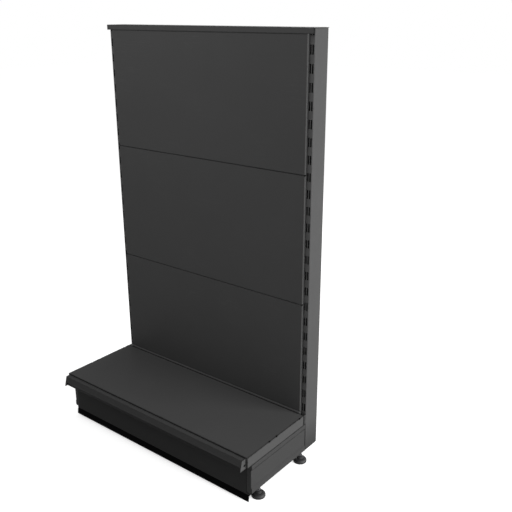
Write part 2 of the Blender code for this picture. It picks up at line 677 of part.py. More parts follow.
def build_shelf():
    """The base shelf: folded sides that stand on the legs, a rear upstand and a folded front."""
    outside = FOLD_RADIUS + SHELF_SHEET
    half = HALF_OUTER - outside
    front = SHELF_FRONT + outside
    rear = SHELF_REAR - FOLD_RADIUS
    front_half = HALF_OUTER - SHELF_CORNER_RELIEF
    rear_half = HALF_CLEAR + PANEL_LAP
    side_drop = SHELF_TOP - LEG_TOP - FIT_GAP
    bm = bmesh.new()
    bmesh.ops.create_grid(bm, x_segments=1, y_segments=1, size=0.5)
    bmesh.ops.scale(bm, verts=bm.verts, vec=(2 * half, rear - front, 1))
    bmesh.ops.translate(bm, verts=bm.verts, vec=(0, (rear + front) / 2, SHELF_TOP))
    for place in (front_half, rear_half):
        split_sheet(bm, "X", place)
        split_sheet(bm, "X", -place)

    down = (0, 0, -1)
    flap = POST_FRONT - FIT_GAP - rear
    for side in SIDES.values():
        edges = rim(bm, lambda co: near(co.x, side * half))
        fold(bm, edges, (side, 0, 0), [(down, side_drop, outside), ((-side, 0, 0), SHELF_RETURN, outside)])
        edges = rim(bm, lambda co: near(co.x, side * HALF_OUTER) and near(co.y, rear))
        extend(bm, edges, (0, flap, 0))

    edges = rim(bm, lambda co: near(co.z, SHELF_TOP) and near(co.y, front)
                and abs(co.x) < front_half + SAME_PLACE)
    fold(bm, edges, (0, -1, 0), [(down, SHELF_FRONT_FOLD, outside),
                                 ((0, 1, 0), SHELF_FRONT_RETURN, outside)])

    edges = rim(bm, lambda co: near(co.z, SHELF_TOP) and near(co.y, rear)
                and abs(co.x) < rear_half + SAME_PLACE)
    fold(bm, edges, (0, 1, 0), [((0, 0, 1), SHELF_UPSTAND, FOLD_RADIUS)])
    shelf = folded_part(bm, "base_shelf", SHELF_SHEET, (0, 0, 1), COATED_STEEL)

    notches = [(EDGE_NOTCH_FIRST, EDGE_NOTCH_WIDTH),
               (EDGE_NOTCH_FIRST + EDGE_NOTCH_SPACING, EDGE_NOTCH_WIDTH),
               (REAR_NOTCH_SETBACK, REAR_NOTCH)]
    for side_name, side in SIDES.items():
        for index, (setback, width) in enumerate(notches):
            name = f"base_shelf_notch_{side_name}_{index}"
            middle = POST_FRONT - setback
            ends = sorted((side * (HALF_OUTER - EDGE_NOTCH_DEPTH), side * (HALF_OUTER + EDGE_NOTCH_DEPTH)))
            notch = box_mesh(name, (ends[0], middle - width / 2, SHELF_TOP - EDGE_NOTCH_DEPTH),
                             (ends[1], middle + width / 2, SHELF_TOP + EDGE_NOTCH_DEPTH))
            boolean(shelf, add_cutter(name, notch), "DIFFERENCE")


def build_stiffener():
    """The hat section welded under the base shelf."""
    middle = POST_FRONT - STIFFENER_SETBACK
    top = SHELF_TOP - SHELF_SHEET - FIT_GAP - STIFFENER_SHEET
    half = STIFFENER_WIDTH / 2
    crown = half - STIFFENER_SLOPE
    low = top - STIFFENER_HEIGHT
    line = [(middle - half - STIFFENER_FLANGE, top), (middle - half, top), (middle - crown, low),
            (middle + crown, low), (middle + half, top), (middle + half + STIFFENER_FLANGE, top)]
    length = 2 * (HALF_OUTER - STIFFENER_INSET)
    hat = outline_mesh("shelf_stiffener", [sheet_outline(line, STIFFENER_SHEET)], length)
    add_part("shelf_stiffener", hat, COATED_STEEL, along("X", 0))


def price_strip_lines():
    """Outer line of the price strip, from its rear flange to its foot, and of its end plates."""
    rear = SHELF_FRONT - FIT_GAP
    top = SHELF_TOP - STRIP_STEP
    low = SHELF_TOP - STRIP_DROP
    flange = [(rear, SHELF_TOP - STRIP_REAR_FLANGE), (rear, top)]
    brow = Vector((rear - STRIP_TOP_WIDTH, top))
    tip = Vector((SHELF_FRONT - STRIP_REACH, low))
    foot = (SHELF_FRONT + STRIP_FOOT, low)
    lip = brow.lerp(tip, STRIP_FACE_SHARE)
    return flange + [brow, lip, (lip.x + STRIP_LIP_BACK, low), foot], flange + [brow, tip, foot]


def build_price_strip():
    """The sloping ticket profile on the shelf's front, with a drilled plate closing each end."""
    strip, plate = price_strip_lines()
    end = HALF_OUTER - STRIP_END_INSET
    half = end - STRIP_END_PLATE - FIT_GAP
    add_part("price_strip", outline_mesh("price_strip", [sheet_outline(strip, STRIP_SHEET)], 2 * half),
             COATED_STEEL, along("X", 0))
    hole = (SHELF_FRONT - STRIP_HOLE_FORWARD, SHELF_TOP - STRIP_HOLE_DROP)
    outlines = [rounded_line(plate, 0, FOLD_RADIUS),
                circle_outline(hole, STRIP_HOLE_RADIUS, ROUND_STEPS // 2)]
    for side_name, side in SIDES.items():
        name = f"price_strip_end_{side_name}"
        add_part(name, outline_mesh(name, outlines, STRIP_END_PLATE), COATED_STEEL,
                 along("X", side * (end - STRIP_END_PLATE / 2)))


def build_plinth():
    """The kick plate between the legs, the clips that hold it and the seal below it."""
    front = LEG_FRONT
    line = [(front + PLINTH_FOLD, PLINTH_TOP), (front, PLINTH_TOP), (front, PLINTH_BOTTOM),
            (front + PLINTH_FOLD, PLINTH_BOTTOM)]
    panel = outline_mesh("plinth_panel", [sheet_outline(line, PLINTH_SHEET)], MODULE_WIDTH)
    plinth = add_part("plinth_panel", panel, COATED_STEEL, along("X", 0))
    for side_name, side in SIDES.items():
        name = f"plinth_panel_notch_{side_name}"
        ends = sorted((side * (HALF_CLEAR - PLINTH_END_GAP), side * HALF_OUTER))
        notch = box_mesh(name, (ends[0], front - PLINTH_FOLD, LEG_BOTTOM - PLINTH_END_GAP),
                         (ends[1], front + 2 * PLINTH_FOLD, LEG_TOP))
        boolean(plinth, add_cutter(name, notch), "DIFFERENCE")

    top = min(PLINTH_BOTTOM, LEG_BOTTOM) - FIT_GAP
    blade = front - SEAL_PROUD
    line = [(blade + SEAL_FLANGE, top), (blade, top), (blade - SEAL_SLANT, SEAL_BOTTOM)]
    add_part("plinth_seal", outline_mesh("plinth_seal", [sheet_outline(line, SEAL_THICKNESS)], MODULE_WIDTH),
             BLACK_PVC, along("X", 0))

    grip = front + PLINTH_SHEET + FIT_GAP
    tongue = front + LEG_WALL + FIT_GAP
    bend = HALF_CLEAR - 2 * CLIP_SHEET
    line = [(bend - CLIP_GRIP, grip), (bend, grip), (bend + CLIP_SHEET, tongue),
            (HALF_CLEAR + CLIP_TONGUE, tongue)]
    middle = (PLINTH_TOP + PLINTH_BOTTOM) / 2
    for side_name, side in SIDES.items():
        name = f"plinth_clip_{side_name}"
        outline = mirrored(sheet_outline(line, CLIP_SHEET), side)
        add_part(name, outline_mesh(name, [outline], CLIP_HEIGHT), ZINC_PLATE, along("Z", middle))


def build_foot(corner):
    """A levelling foot: a pad on the floor, a stem that turns in it, and the nut in the leg."""
    x, y = FOOT_PLACES[corner]
    socket = STEM_RADIUS + STEM_CLEARANCE
    pad = [(0, PAD_FLOOR), (socket, PAD_FLOOR), (socket, PAD_NECK_TOP), (PAD_NECK_RADIUS, PAD_NECK_TOP),
           (PAD_NECK_RADIUS, PAD_SHOULDER)]
    crown = PAD_SHOULDER - PAD_RIM
    for step in range(1, PAD_STEPS + 1):
        angle = math.pi / 2 * step / PAD_STEPS
        pad.append((PAD_NECK_RADIUS + (PAD_RADIUS - PAD_NECK_RADIUS) * math.sin(angle),
                    PAD_RIM + crown * math.cos(angle)))
    pad += [(PAD_RADIUS, 0), (0, 0)]
    turned_mesh_part(f"foot_pad_{corner}", pad, BLACK_NYLON, (x, y, 0))

    name = f"foot_stem_{corner}"
    place = Matrix.Translation((x, y, 0))
    stem = add_part(name, rod_mesh(name, STEM_RADIUS, PAD_FLOOR + FIT_GAP, STEM_TOP), BLACK_ZINC, place)
    collar_low = PAD_NECK_TOP + FIT_GAP
    collar = rod_mesh(f"{name}_collar", hexagon_radius(STEM_COLLAR_FLATS), collar_low,
                      collar_low + STEM_COLLAR_HEIGHT, 6)
    boolean(stem, add_cutter(f"{name}_collar", collar, place), "UNION")

    name = f"foot_nut_{corner}"
    low = LEG_BOTTOM + LEG_WALL + FIT_GAP
    hexagon = rod_mesh(name, hexagon_radius(NUT_FLATS), low, low + NUT_HEIGHT, 6)
    nut = add_part(name, hexagon, ZINC_PLATE, place)
    thread = rod_mesh(f"{name}_thread", socket, low - NUT_HEIGHT, low + 2 * NUT_HEIGHT)
    boolean(nut, add_cutter(f"{name}_thread", thread, place), "DIFFERENCE")


def main():
    """Build every piece of the unit."""
    for side_name in SIDES:
        build_upright(side_name)
        build_leg(side_name)
        build_hook_plate(side_name)
    for name, top in zip(("upper_rail", "middle_rail", "lower_rail", "base_rail"), rail_tops()):
        build_rail(name, top)
    for index, name in enumerate(("upper_back_panel", "middle_back_panel", "lower_back_panel")):
        build_panel(index, name)
    build_cap()
    build_shelf()
    build_stiffener()
    build_price_strip()
    build_plinth()
    for corner in FOOT_PLACES:
        build_foot(corner)


main()
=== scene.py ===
"""Finishes and small details of the gondola end unit, around its packed frame, in a plain studio.

Lengths are metres and +Z is up. The shopper stands on the -Y side.
"""

import json
import math

import bpy
import numpy as np
from mathutils import Matrix, Vector


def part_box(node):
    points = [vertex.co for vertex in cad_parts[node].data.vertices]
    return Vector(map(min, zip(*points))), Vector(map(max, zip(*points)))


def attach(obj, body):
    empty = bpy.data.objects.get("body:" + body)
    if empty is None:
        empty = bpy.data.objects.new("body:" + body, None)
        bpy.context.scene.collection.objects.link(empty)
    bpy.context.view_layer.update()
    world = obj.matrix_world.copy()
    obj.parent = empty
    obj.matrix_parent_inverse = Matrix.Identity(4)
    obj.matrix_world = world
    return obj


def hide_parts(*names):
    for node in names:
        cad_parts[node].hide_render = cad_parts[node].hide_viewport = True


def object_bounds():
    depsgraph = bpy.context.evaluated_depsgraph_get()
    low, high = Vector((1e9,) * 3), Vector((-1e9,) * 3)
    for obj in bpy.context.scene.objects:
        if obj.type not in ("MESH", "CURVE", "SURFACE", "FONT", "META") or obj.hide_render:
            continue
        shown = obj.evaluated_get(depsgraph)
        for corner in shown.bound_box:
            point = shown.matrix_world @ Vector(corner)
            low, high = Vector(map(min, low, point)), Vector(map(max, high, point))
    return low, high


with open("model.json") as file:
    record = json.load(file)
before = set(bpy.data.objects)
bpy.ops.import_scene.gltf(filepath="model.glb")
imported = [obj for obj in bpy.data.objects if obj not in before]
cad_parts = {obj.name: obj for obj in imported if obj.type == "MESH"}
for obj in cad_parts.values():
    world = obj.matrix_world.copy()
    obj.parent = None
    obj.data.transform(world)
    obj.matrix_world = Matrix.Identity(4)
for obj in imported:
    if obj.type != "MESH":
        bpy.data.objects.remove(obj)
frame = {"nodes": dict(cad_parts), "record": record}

bl_info = {
    "name": "Gondola end unit",
    "version": (1, 0, 0),
    "blender": (4, 5, 0),
    "location": "View3D > Sidebar > End unit",
    "description": "Finishes and details of a shop shelving end unit",
    "category": "Object",
}

CAD_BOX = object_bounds()
IMAGE_PIXELS = 512
SENSOR_WIDTH = 36.0

CORNERS = ("front_left", "front_right", "rear_left", "rear_right")
RAILS = ("upper_rail", "middle_rail", "lower_rail", "base_rail")
PANELS = ("upper_back_panel", "middle_back_panel", "lower_back_panel")
SIDES = {"left": -1, "right": 1}

TURN = 2 * math.pi
HEX_PART = math.pi / 3
SMOOTH_ANGLE = math.radians(32)
THREAD_DEPTH = 0.6          # of a thread's pitch
THREAD_CREST = 0.125        # of the pitch, flat at the crest
THREAD_FLANKS = 0.625       # of the pitch, on the two slopes
THREAD_STEPS = 8            # rows of points in one pitch
CHAMFER_START = 0.475       # of a hexagon's flats, where its chamfer meets the end face
CHAMFER_RISE = 1.7          # outwards for each step along the axis

WHITE = (1.0, 1.0, 1.0, 1.0)
ALONG_X = (4.0, 90.0, 90.0)     # scuffs drawn out along an axis
ALONG_Y = (90.0, 4.0, 90.0)
ALONG_Z = (90.0, 90.0, 4.0)
EXTRUDED = (0.05, 1.0, 1.0)     # a skin drawn out along X
MOULDED = (1.0, 1.0, 1.0)       # a skin drawn out along no axis
NOISE_MIDDLE = 0.5
RIPPLE_SHARE = 0.25             # of the ripples in a skin's clouds
CLOUD_MIDDLE = 0.62             # mean of clouds and ripples together
ROUGH_SWING = 0.16              # change of roughness with the clouds
SCUFF_WIDTH = 0.012             # half a scuff's width, as a change of its noise
SCUFF_FULL = 0.66               # noise where scuffs show in full
SCUFF_NONE = 0.52               # noise where they end
SCUFF_SHOW = 0.10               # how much of a scuff shows
SCUFF_TONE = 2.4                # against the coat
SHADE_TONE = 0.12                # painted shade, against the skin below
SPOT_CORE = 0.7                 # of a spot of painted shade, where it is full
UPRIGHT_SHADE = 0.25             # how much painted shade shows on a piece
PANEL_SHADE = 0.35
LEG_SHADE = 0.85
DECK_SHADE = 0.95
LEG_SPREAD = 1.15               # of the painted shade's width
DECK_SPREAD = 1.6
WELD_TONE = 1.15                # against the coat


def middle_of(node):
    """Middle of a node's box."""
    low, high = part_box(node)
    return (low + high) / 2


def screw_pitch():
    """Travel of a foot in one turn, from the ratio that couples its screw to its slide."""
    return TURN / frame["record"]["behaviour"]["couplings"][0]["ratio"]


def number(name, description, default, **kind):
    """A number of some kind."""
    return bpy.props.FloatProperty(name=name, description=description, default=default, **kind)


def metres(name, description, default):
    """A length."""
    return number(name, description, default, unit="LENGTH")


def share(name, description, default, most=1.0):
    """A tone, or a share of a whole."""
    return number(name, description, default, min=0.0, max=most, subtype="FACTOR")


def paint(name, description, default):
    """A colour."""
    return bpy.props.FloatVectorProperty(name=name, description=description, default=default,
                                         size=3, min=0.0, max=1.0, subtype="COLOR")


def position(name, description, default):
    """A place in the scene."""
    return bpy.props.FloatVectorProperty(name=name, description=description, default=default,
                                         size=3, subtype="TRANSLATION", unit="LENGTH")


class CoatSettings(bpy.types.PropertyGroup):
    """The powder coat on the steel pieces."""

    colour: paint("Coat colour", "Dark grey powder coat", (0.0563, 0.0563, 0.0563))
    leg_tone: share("Leg tone", "Coat of the legs against the rest", 0.66, 2.0)
    deck_tone: share("Deck tone", "Coat of the base shelf against the rest", 1.0, 2.0)
    strip_tone: share("Strip tone", "Coat of the price strip against the rest", 0.78, 2.0)
    # The plinth's darker coat is painted shade under the deck's overhang
    plinth_tone: share("Plinth tone", "Coat of the plinth against the rest", 0.48, 2.0)
    # Painted highlight on the deck's upstand and the uprights' slotted faces; painted shade on the strip's
    # lip and on the uprights near the floor
    upstand_tone: share("Upstand tone", "Highlighted coat of the deck's rear upstand", 1.9, 4.0)
    lip_tone: share("Lip tone", "Shadowed coat below the price strip's face", 0.12, 2.0)
    front_tone: share("Front tone", "Highlighted coat of the uprights' slotted faces", 1.45, 2.0)
    foot_tone: share("Foot tone", "Shadowed coat of the uprights near the floor", 0.55, 2.0)
    # Below foot_full an upright takes its full painted shade, which fades out by foot_none
    foot_full: metres("Foot full", "Height below which an upright is dirty", 0.045)
    foot_none: metres("Foot none", "Height above which an upright is clean", 0.145)
    roughness: share("Roughness", "Roughness of the coat", 0.55)
    gloss: share("Gloss", "Strength of the coat's reflections", 0.03)
    dull: share("Dull", "Gloss of the deck, strip and plinth against the rest", 0.5)
    peel: metres("Orange peel", "Width of the coat's ripples", 0.0016)
    # Width of the painted shade along folds, creases and edges
    edge_shade: metres("Shade_width", "Width of the dirt along folds and edges", 0.005)
    deck_upstand: metres("Deck upstand", "Height of the upstand behind the deck", 0.008)
    deck_gap: metres("Deck gap", "From the upstand's front to the back panel", 0.0037)
    leg_swage: metres("Leg swage", "Depth of the pressed panel in a leg's side", 0.0025)
    leg_ridge: metres(
        "Leg ridge", "Height of the ridge above a leg's pressed panel, with its slope", 0.019)


class TrimSettings(bpy.types.PropertyGroup):
    """The price strip, the seal and the plugs."""

    seal_colour: paint("Seal colour", "Black extruded seal", (0.0018, 0.0018, 0.0019))
    seal_sheet: metres("Seal sheet", "Thickness of the seal", 0.002)
    seal_slant: metres("Seal slant", "How far the seal's lip leans out", 0.003)
    seal_edge: metres("Seal edge", "Radius at the seal's lip", 0.0009)
    seal_fold: metres("Seal fold", "Radius outside the seal's fold", 0.0025)
    strip_sheet: metres("Strip sheet", "Thickness of the price strip", 0.0012)
    strip_top: metres("Strip top", "Depth of the strip's top land", 0.0145)
    strip_flange: metres("Strip flange", "Height of the flange behind the strip", 0.0205)
    strip_foot: metres("Strip foot", "How far the foot passes behind that flange", 0.0113)
    strip_share: share("Strip face", "Height of the face against the whole strip", 0.6)
    strip_lip: metres("Strip lip", "How far the lip below the face folds back", 0.005)
    strip_fold: metres("Strip fold", "Radius outside the strip's folds", 0.0017)
    strip_edge: metres("Strip edge", "Radius at the sheet's edges and hollows", 0.0003)
    ticket_recess: metres("Ticket recess", "Depth of the strip's face behind its rims", 0.0006)
    ticket_rim: metres("Ticket rim", "Width of the rims above and below the tickets", 0.0025)
    hole_forward: metres("Hole forward", "From the deck's front to the hole in an end plate", 0.0045)
    hole_drop: metres("Hole drop", "From the strip's top to the hole in an end plate", 0.0215)
    plug_flange: metres("Plug flange", "Thickness of the plugs below the uprights", 0.0025)
    plug_inset: metres("Plug inset", "From the upright's face to the plug's flange", 0.0006)
    plug_wall: metres("Plug wall", "From the upright's face to the plug's body", 0.0026)
    plug_depth: metres("Plug depth", "How far the plug's body enters the tube", 0.012)
    plug_corner: metres("Plug corner", "Radius of the plug's corners", 0.0045)


class InsetSettings(bpy.types.PropertyGroup):
    """Small plates and tapes that close the gaps between the sheets; the notch plates and seam tapes are
    dark, as painted shade in those gaps.
    """

    gap: metres("Gap", "From a plate or tape to the sheets beside it", 0.0002)
    corner: metres("Corner", "Radius of the plates' corners", 0.0012)
    deck_sheet: metres("Deck sheet", "Thickness of the deck", 0.0012)
    notch_setbacks: bpy.props.FloatVectorProperty(
        name="Notches", description="From the uprights' fronts to the deck's edge notches", unit="LENGTH",
        size=3, default=(0.034, 0.1565, 0.1915))
    notch_margin: metres("Notch margin", "From a notch to the end of the plate behind it", 0.014)
    notch_inset: metres("Notch inset", "From the deck's side to the plate behind a notch", 0.0048)
    notch_height: metres("Notch height", "Height of a notch's plate", 0.011)
    gusset_reach: metres(
        "Gusset reach", "From the deck's side to behind the end of its front fold", 0.008)
    guard_sheet: metres("Guard sheet", "Thickness of the plinth and its edge guards", 0.001)
    guard_width: metres("Guard width", "From the plinth's end to the leg", 0.0005)
    tape_setback: metres("Tape setback", "From the panels' faces to the tape in a seam", 0.004)
    tape_depth: metres("Tape depth", "Depth of the tape in a seam", 0.006)
    tape_inset: metres("Tape inset", "From a panel's side to the end of its tape", 0.001)


class FastenerSettings(bpy.types.PropertyGroup):
    """Feet, nuts, bolts and welds."""

    pad_colour: paint("Pad colour", "Black moulded feet and plugs", (0.018, 0.018, 0.019))
    zinc_colour: paint("Zinc colour", "Plated bolts, nuts and clips", (0.50, 0.51, 0.53))
    # The stems' black is partly a guessed finish and partly painted shade under the legs
    stem_colour: paint("Stem colour", "Blackened stems of the feet", (0.070, 0.070, 0.074))
    zinc_tint: paint("Zinc tint", "Straw patches on bright zinc", (0.46, 0.43, 0.34))
    stem_tint: paint("Stem tint", "Brown patches on black zinc", (0.075, 0.066, 0.055))
    clearance: metres("Clearance", "Between pieces that touch", 0.0003)
    edge: metres("Edge", "Small chamfer at turned edges", 0.0006)
    pitch: metres("Foot thread pitch", "Travel of a foot in one turn", screw_pitch())
    stem_radius: metres("Stem radius", "Outside the foot's thread", 0.005)
    collar_flats: metres("Collar flats", "Across the flats of the stem's collar", 0.013)
    collar_height: metres("Collar height", "Height of the stem's collar", 0.006)
    pad_neck: metres("Pad neck", "Radius of the pad's neck", 0.0095)
    pad_fillet: metres("Pad fillet", "Radius between the neck and the crown", 0.0012)
    pad_crown: metres("Pad crown", "Height of the top of the pad's crown", 0.0125)
    pad_rim: metres("Pad rim", "Height of the pad's rim", 0.005)
    pad_floor: metres("Pad floor", "Thickness below the stem", 0.006)
    bolt_radius: metres("Bolt radius", "Outside the bolt's thread", 0.004)
    bolt_pitch: metres("Bolt pitch", "Pitch of the bolt's thread", 0.00125)
    bolt_head: metres("Bolt head", "Height of the bolt's head", 0.0053)
    weld_radius: metres("Spot weld", "Radius of a spot weld's mark", 0.003)
    weld_spacing: metres("Weld spacing", "Between spot welds", 0.090)
    weld_flange: metres("Weld flange", "Width of the stiffener's welded flanges", 0.012)
    weld_sheet: metres("Weld sheet", "Thickness of the stiffener", 0.001)


class StageSettings(bpy.types.PropertyGroup):
    """Camera, floor and lamps."""

    camera_place: position("Camera place", "Where the camera stands", (1.4860, -1.4943, 1.3911))
    camera_turn: number("Camera turn", "Left of straight on", 0.6669, subtype="ANGLE")
    camera_dip: number("Camera dip", "Below level", 0.3376, subtype="ANGLE")
    camera_roll: number("Camera roll", "Turn about the line of sight", 0.0021, subtype="ANGLE")
    focal_pixels: number("Focal length", "In pixels of the picture's width", 697.48)
    fill: number("Fill", "Even light from all round", 0.2)
    key_power: number("Key", "Large soft lamp on the right", 207.0, subtype="POWER")
    key_place: position("Key place", "Where the key lamp hangs", (3.4, 0.6, 1.25))
    key_size: metres("Key size", "Width of the key lamp", 2.6)
    top_power: number("Top", "Soft lamp overhead", 15.5, subtype="POWER")
    top_place: position("Top place", "Where the top lamp hangs", (-0.25, -0.9, 2.0))
    top_size: metres("Top size", "Width of the top lamp", 1.4)
    back_power: number("Back", "Soft lamp behind", 35.0, subtype="POWER")
    back_place: position("Back place", "Where the lamp behind hangs", (-0.6, 2.9, 1.9))
    back_size: metres("Back size", "Width of the lamp behind", 1.8)
    floor_size: metres("Floor", "Width of the floor", 30.0)
    floor_colour: paint("Floor colour", "Pale floor", (0.62, 0.62, 0.62))
    glow_near: share("White near", "How white the floor looks by the unit without lamps", 0.72)
    glow_far: share("White far", "How white the floor looks far off without lamps", 0.88)
    far_start: metres("Far start", "From the unit's middle to where the far floor begins", 1.0)
    far_end: metres("Far end", "From the unit's middle to where the far floor is reached", 4.0)
    shade_start: metres("Shade start", "From the unit's edges to where the floor below it darkens", 0.02)
    shade_end: metres("Shade end", "From the unit's edges to where the floor below it is dark", 0.1)


# Surfaces


def grid_faces(rows, columns, close_rows=False):
    """Quads of a grid whose columns close on themselves: each joins four neighbours, anticlockwise."""
    count = rows if close_rows else rows - 1
    row, column = np.meshgrid(np.arange(count), np.arange(columns), indexing="ij")
    here, above = row * columns, (row + 1) % rows * columns
    after = (column + 1) % columns
    corners = [here + column, here + after, above + after, above + column]
    return np.stack(corners, -1).reshape(-1, 4)


def fan_faces(first, columns, pole, upward):
    """Triangles from a ring of points to its pole."""
    ring = first + np.arange(columns)
    after = first + (np.arange(columns) + 1) % columns
    ends = (ring, after) if upward else (after, ring)
    return np.stack([*ends, np.full(columns, pole)], -1)


def closed_tube(rings):
    """A stack of rings, rows x columns x 3, closed at both ends by a pole at the ring's middle."""
    rows, columns, _ = rings.shape
    points = rings.reshape(-1, 3)
    poles = np.stack([rings[0].mean(0), rings[-1].mean(0)])
    faces = [grid_faces(rows, columns),
             fan_faces(0, columns, len(points), False),
             fan_faces((rows - 1) * columns, columns, len(points) + 1, True)]
    return np.concatenate([points, poles]), faces


def closed_ring(rings):
    """A stack of rings whose last row joins its first, as in a nut."""
    rows, columns, _ = rings.shape
    return rings.reshape(-1, 3), [grid_faces(rows, columns, close_rows=True)]


def turned(radius, height, columns):
    """Rings about the Z axis: x = r cos a, y = r sin a, z = h, for r and h that may change with a."""
    angle = np.arange(columns) * TURN / columns
    radius, height = np.broadcast_arrays(radius, height)
    return np.stack([radius * np.cos(angle), radius * np.sin(angle), height * np.ones(columns)], -1)


def lathe(profile, columns):
    """Rings turned from a profile of (radius, height) points."""
    profile = np.asarray(profile, float)
    return turned(profile[:, :1], profile[:, 1:], columns)


def hexagon(flats, columns):
    """Distance from the middle to a hexagon's wall at each angle: half the flats over the cosine of the
    angle from the nearest flat, which faces X."""
    angle = np.arange(columns) * TURN / columns
    return flats / 2 / np.cos((angle + HEX_PART / 2) % HEX_PART - HEX_PART / 2)


def chamfered(flats, edge, columns):
    """A hexagon's wall cut back by a cone near its ends: the lesser of the hexagon and a radius that grows
    with the distance from the end."""
    return np.minimum(hexagon(flats, columns), flats * CHAMFER_START + edge * CHAMFER_RISE)


def thread(height, pitch, columns):
    """How far a screw thread is cut back at each height and angle: a trapezoid wave of the height in
    pitches less the angle in turns, flat for an eighth at the crest and a quarter at the root."""
    phase = (height / pitch - np.arange(columns) / columns) % 1.0
    slope = np.clip((np.abs(phase - 0.5) * 2 - THREAD_CREST) / THREAD_FLANKS, 0, 1)
    return THREAD_DEPTH * pitch * slope


def rounded(corners, radii, steps=4):
    """A closed outline with rounded corners: each corner becomes an arc that leaves both of its sides at
    radius x tan(half the turn) from the corner, turning evenly in a few steps."""
    corners = np.asarray(corners, float)
    radii = np.broadcast_to(np.asarray(radii, float), len(corners))[:, None]
    arriving = corners - np.roll(corners, 1, 0)
    arriving /= np.linalg.norm(arriving, axis=1, keepdims=True)
    leaving = np.roll(arriving, -1, 0)
    cross = arriving[:, 0] * leaving[:, 1] - arriving[:, 1] * leaving[:, 0]
    turn = np.arctan2(cross, (arriving * leaving).sum(1))[:, None]
    left = np.stack([-arriving[:, 1], arriving[:, 0]], -1) * np.sign(turn)
    start = corners - arriving * radii * np.tan(np.abs(turn) / 2)
    angle = np.abs(turn) * np.linspace(0, 1, steps + 1)
    along = np.sin(angle)[..., None] * arriving[:, None] + (1 - np.cos(angle))[..., None] * left[:, None]
    return (start[:, None] + radii[..., None] * along).reshape(-1, 2)


def beside(line, thickness):
    """The line at a distance to the left of another, with mitred corners: each point moves along the
    mean of its two sides' normals, over the cosine of half the turn."""
    line = np.asarray(line, float)
    step = np.diff(line, axis=0)
    step /= np.linalg.norm(step, axis=1, keepdims=True)
    left = np.stack([-step[:, 1], step[:, 0]], -1)
    before = np.concatenate([left[:1], left])
    after = np.concatenate([left, left[-1:]])
    mitre = before + after
    mitre /= np.linalg.norm(mitre, axis=1, keepdims=True)
    return line + mitre * thickness / (mitre * after).sum(1, keepdims=True)


def carried(outline, stations):
    """An outline of (y, z) points carried along X: rings of (x, y, z), one at each station."""
    rings = np.empty((len(stations), len(outline), 3))
    rings[..., 0] = np.asarray(stations)[:, None]
    rings[..., 1:] = outline
    return rings


def capped(rings):
    """A carried outline with a flat face across each end."""
    rows, columns, _ = rings.shape
    ends = np.stack([np.arange(columns)[::-1], (rows - 1) * columns + np.arange(columns)])
    return rings.reshape(-1, 3), [grid_faces(rows, columns), ends]


def joined(parts):
    """Several shells in one mesh: the points one after another, the faces' numbers moved up to suit."""
    points, faces = [], []
    count = 0
    for part_points, part_faces in parts:
        points.append(part_points)
        faces += [face + count for face in part_faces]
        count += len(part_points)
    return np.concatenate(points), faces


def add_piece(name, surface, material, body, replaced=None):
    """Put a surface in the scene as a piece that rides on a body."""
    points, faces = surface
    mesh = bpy.data.meshes.new(name)
    loops = np.concatenate([face.ravel() for face in faces]).astype(np.int32)
    sizes = np.concatenate([np.full(len(face), face.shape[1]) for face in faces])
    starts = np.concatenate([[0], np.cumsum(sizes)[:-1]]).astype(np.int32)
    mesh.vertices.add(len(points))
    mesh.vertices.foreach_set("co", np.ascontiguousarray(points, np.float32).ravel())
    mesh.loops.add(len(loops))
    mesh.loops.foreach_set("vertex_index", loops)
    mesh.polygons.add(len(starts))
    mesh.polygons.foreach_set("loop_start", starts)
    mesh.update(calc_edges=True)
    mesh.shade_smooth()
    mesh.set_sharp_from_angle(angle=SMOOTH_ANGLE)
    if mesh.validate(clean_customdata=False):
        raise RuntimeError(f"{name} has faulty faces")
    mesh.materials.append(material)
    piece = bpy.data.objects.new(name, mesh)
    bpy.context.scene.collection.objects.link(piece)
    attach(piece, body)
    if replaced:
        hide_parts(replaced)


def dress(name, material):
    """Give a CAD node a material."""
    for slot in frame["nodes"][name].material_slots:
        slot.material = material


# Finishes


def add_node(tree, kind, inputs=None, **settings):
    """A shader node with its settings; an input is a value, or another node's output to link."""
    node = tree.nodes.new(kind)
    for key, value in settings.items():
        setattr(node, key, value)
    for key, value in (inputs or {}).items():
        if isinstance(value, bpy.types.NodeSocket):
            tree.links.new(value, node.inputs[key])
        else:
            node.inputs[key].default_value = value
    return node


def math_node(tree, operation, *values):
    """A Math node's output."""
    return add_node(tree, "ShaderNodeMath", dict(enumerate(values)), operation=operation).outputs[0]


def vector_node(tree, operation, inputs, output=0):
    """A Vector Math node's output."""
    return add_node(tree, "ShaderNodeVectorMath", inputs, operation=operation).outputs[output]


def axes(tree, vector):
    """A vector's X, Y and Z."""
    return add_node(tree, "ShaderNodeSeparateXYZ", {0: vector}).outputs


def noise(tree, place, scale, detail):
    """A noise texture's value, about 0.5."""
    inputs = {"Vector": place, "Scale": scale, "Detail": detail}
    return add_node(tree, "ShaderNodeTexNoise", inputs).outputs[0]


def new_group(name, inputs, outputs):
    """A shader node group with named sockets; returns it with its two ends."""
    tree = bpy.data.node_groups.new(name, "ShaderNodeTree")
    for direction, sockets in (("INPUT", inputs), ("OUTPUT", outputs)):
        for socket, kind in sockets.items():
            tree.interface.new_socket(socket, in_out=direction, socket_type=f"NodeSocket{kind}")
    return tree, tree.nodes.new("NodeGroupInput").outputs, tree.nodes.new("NodeGroupOutput").inputs


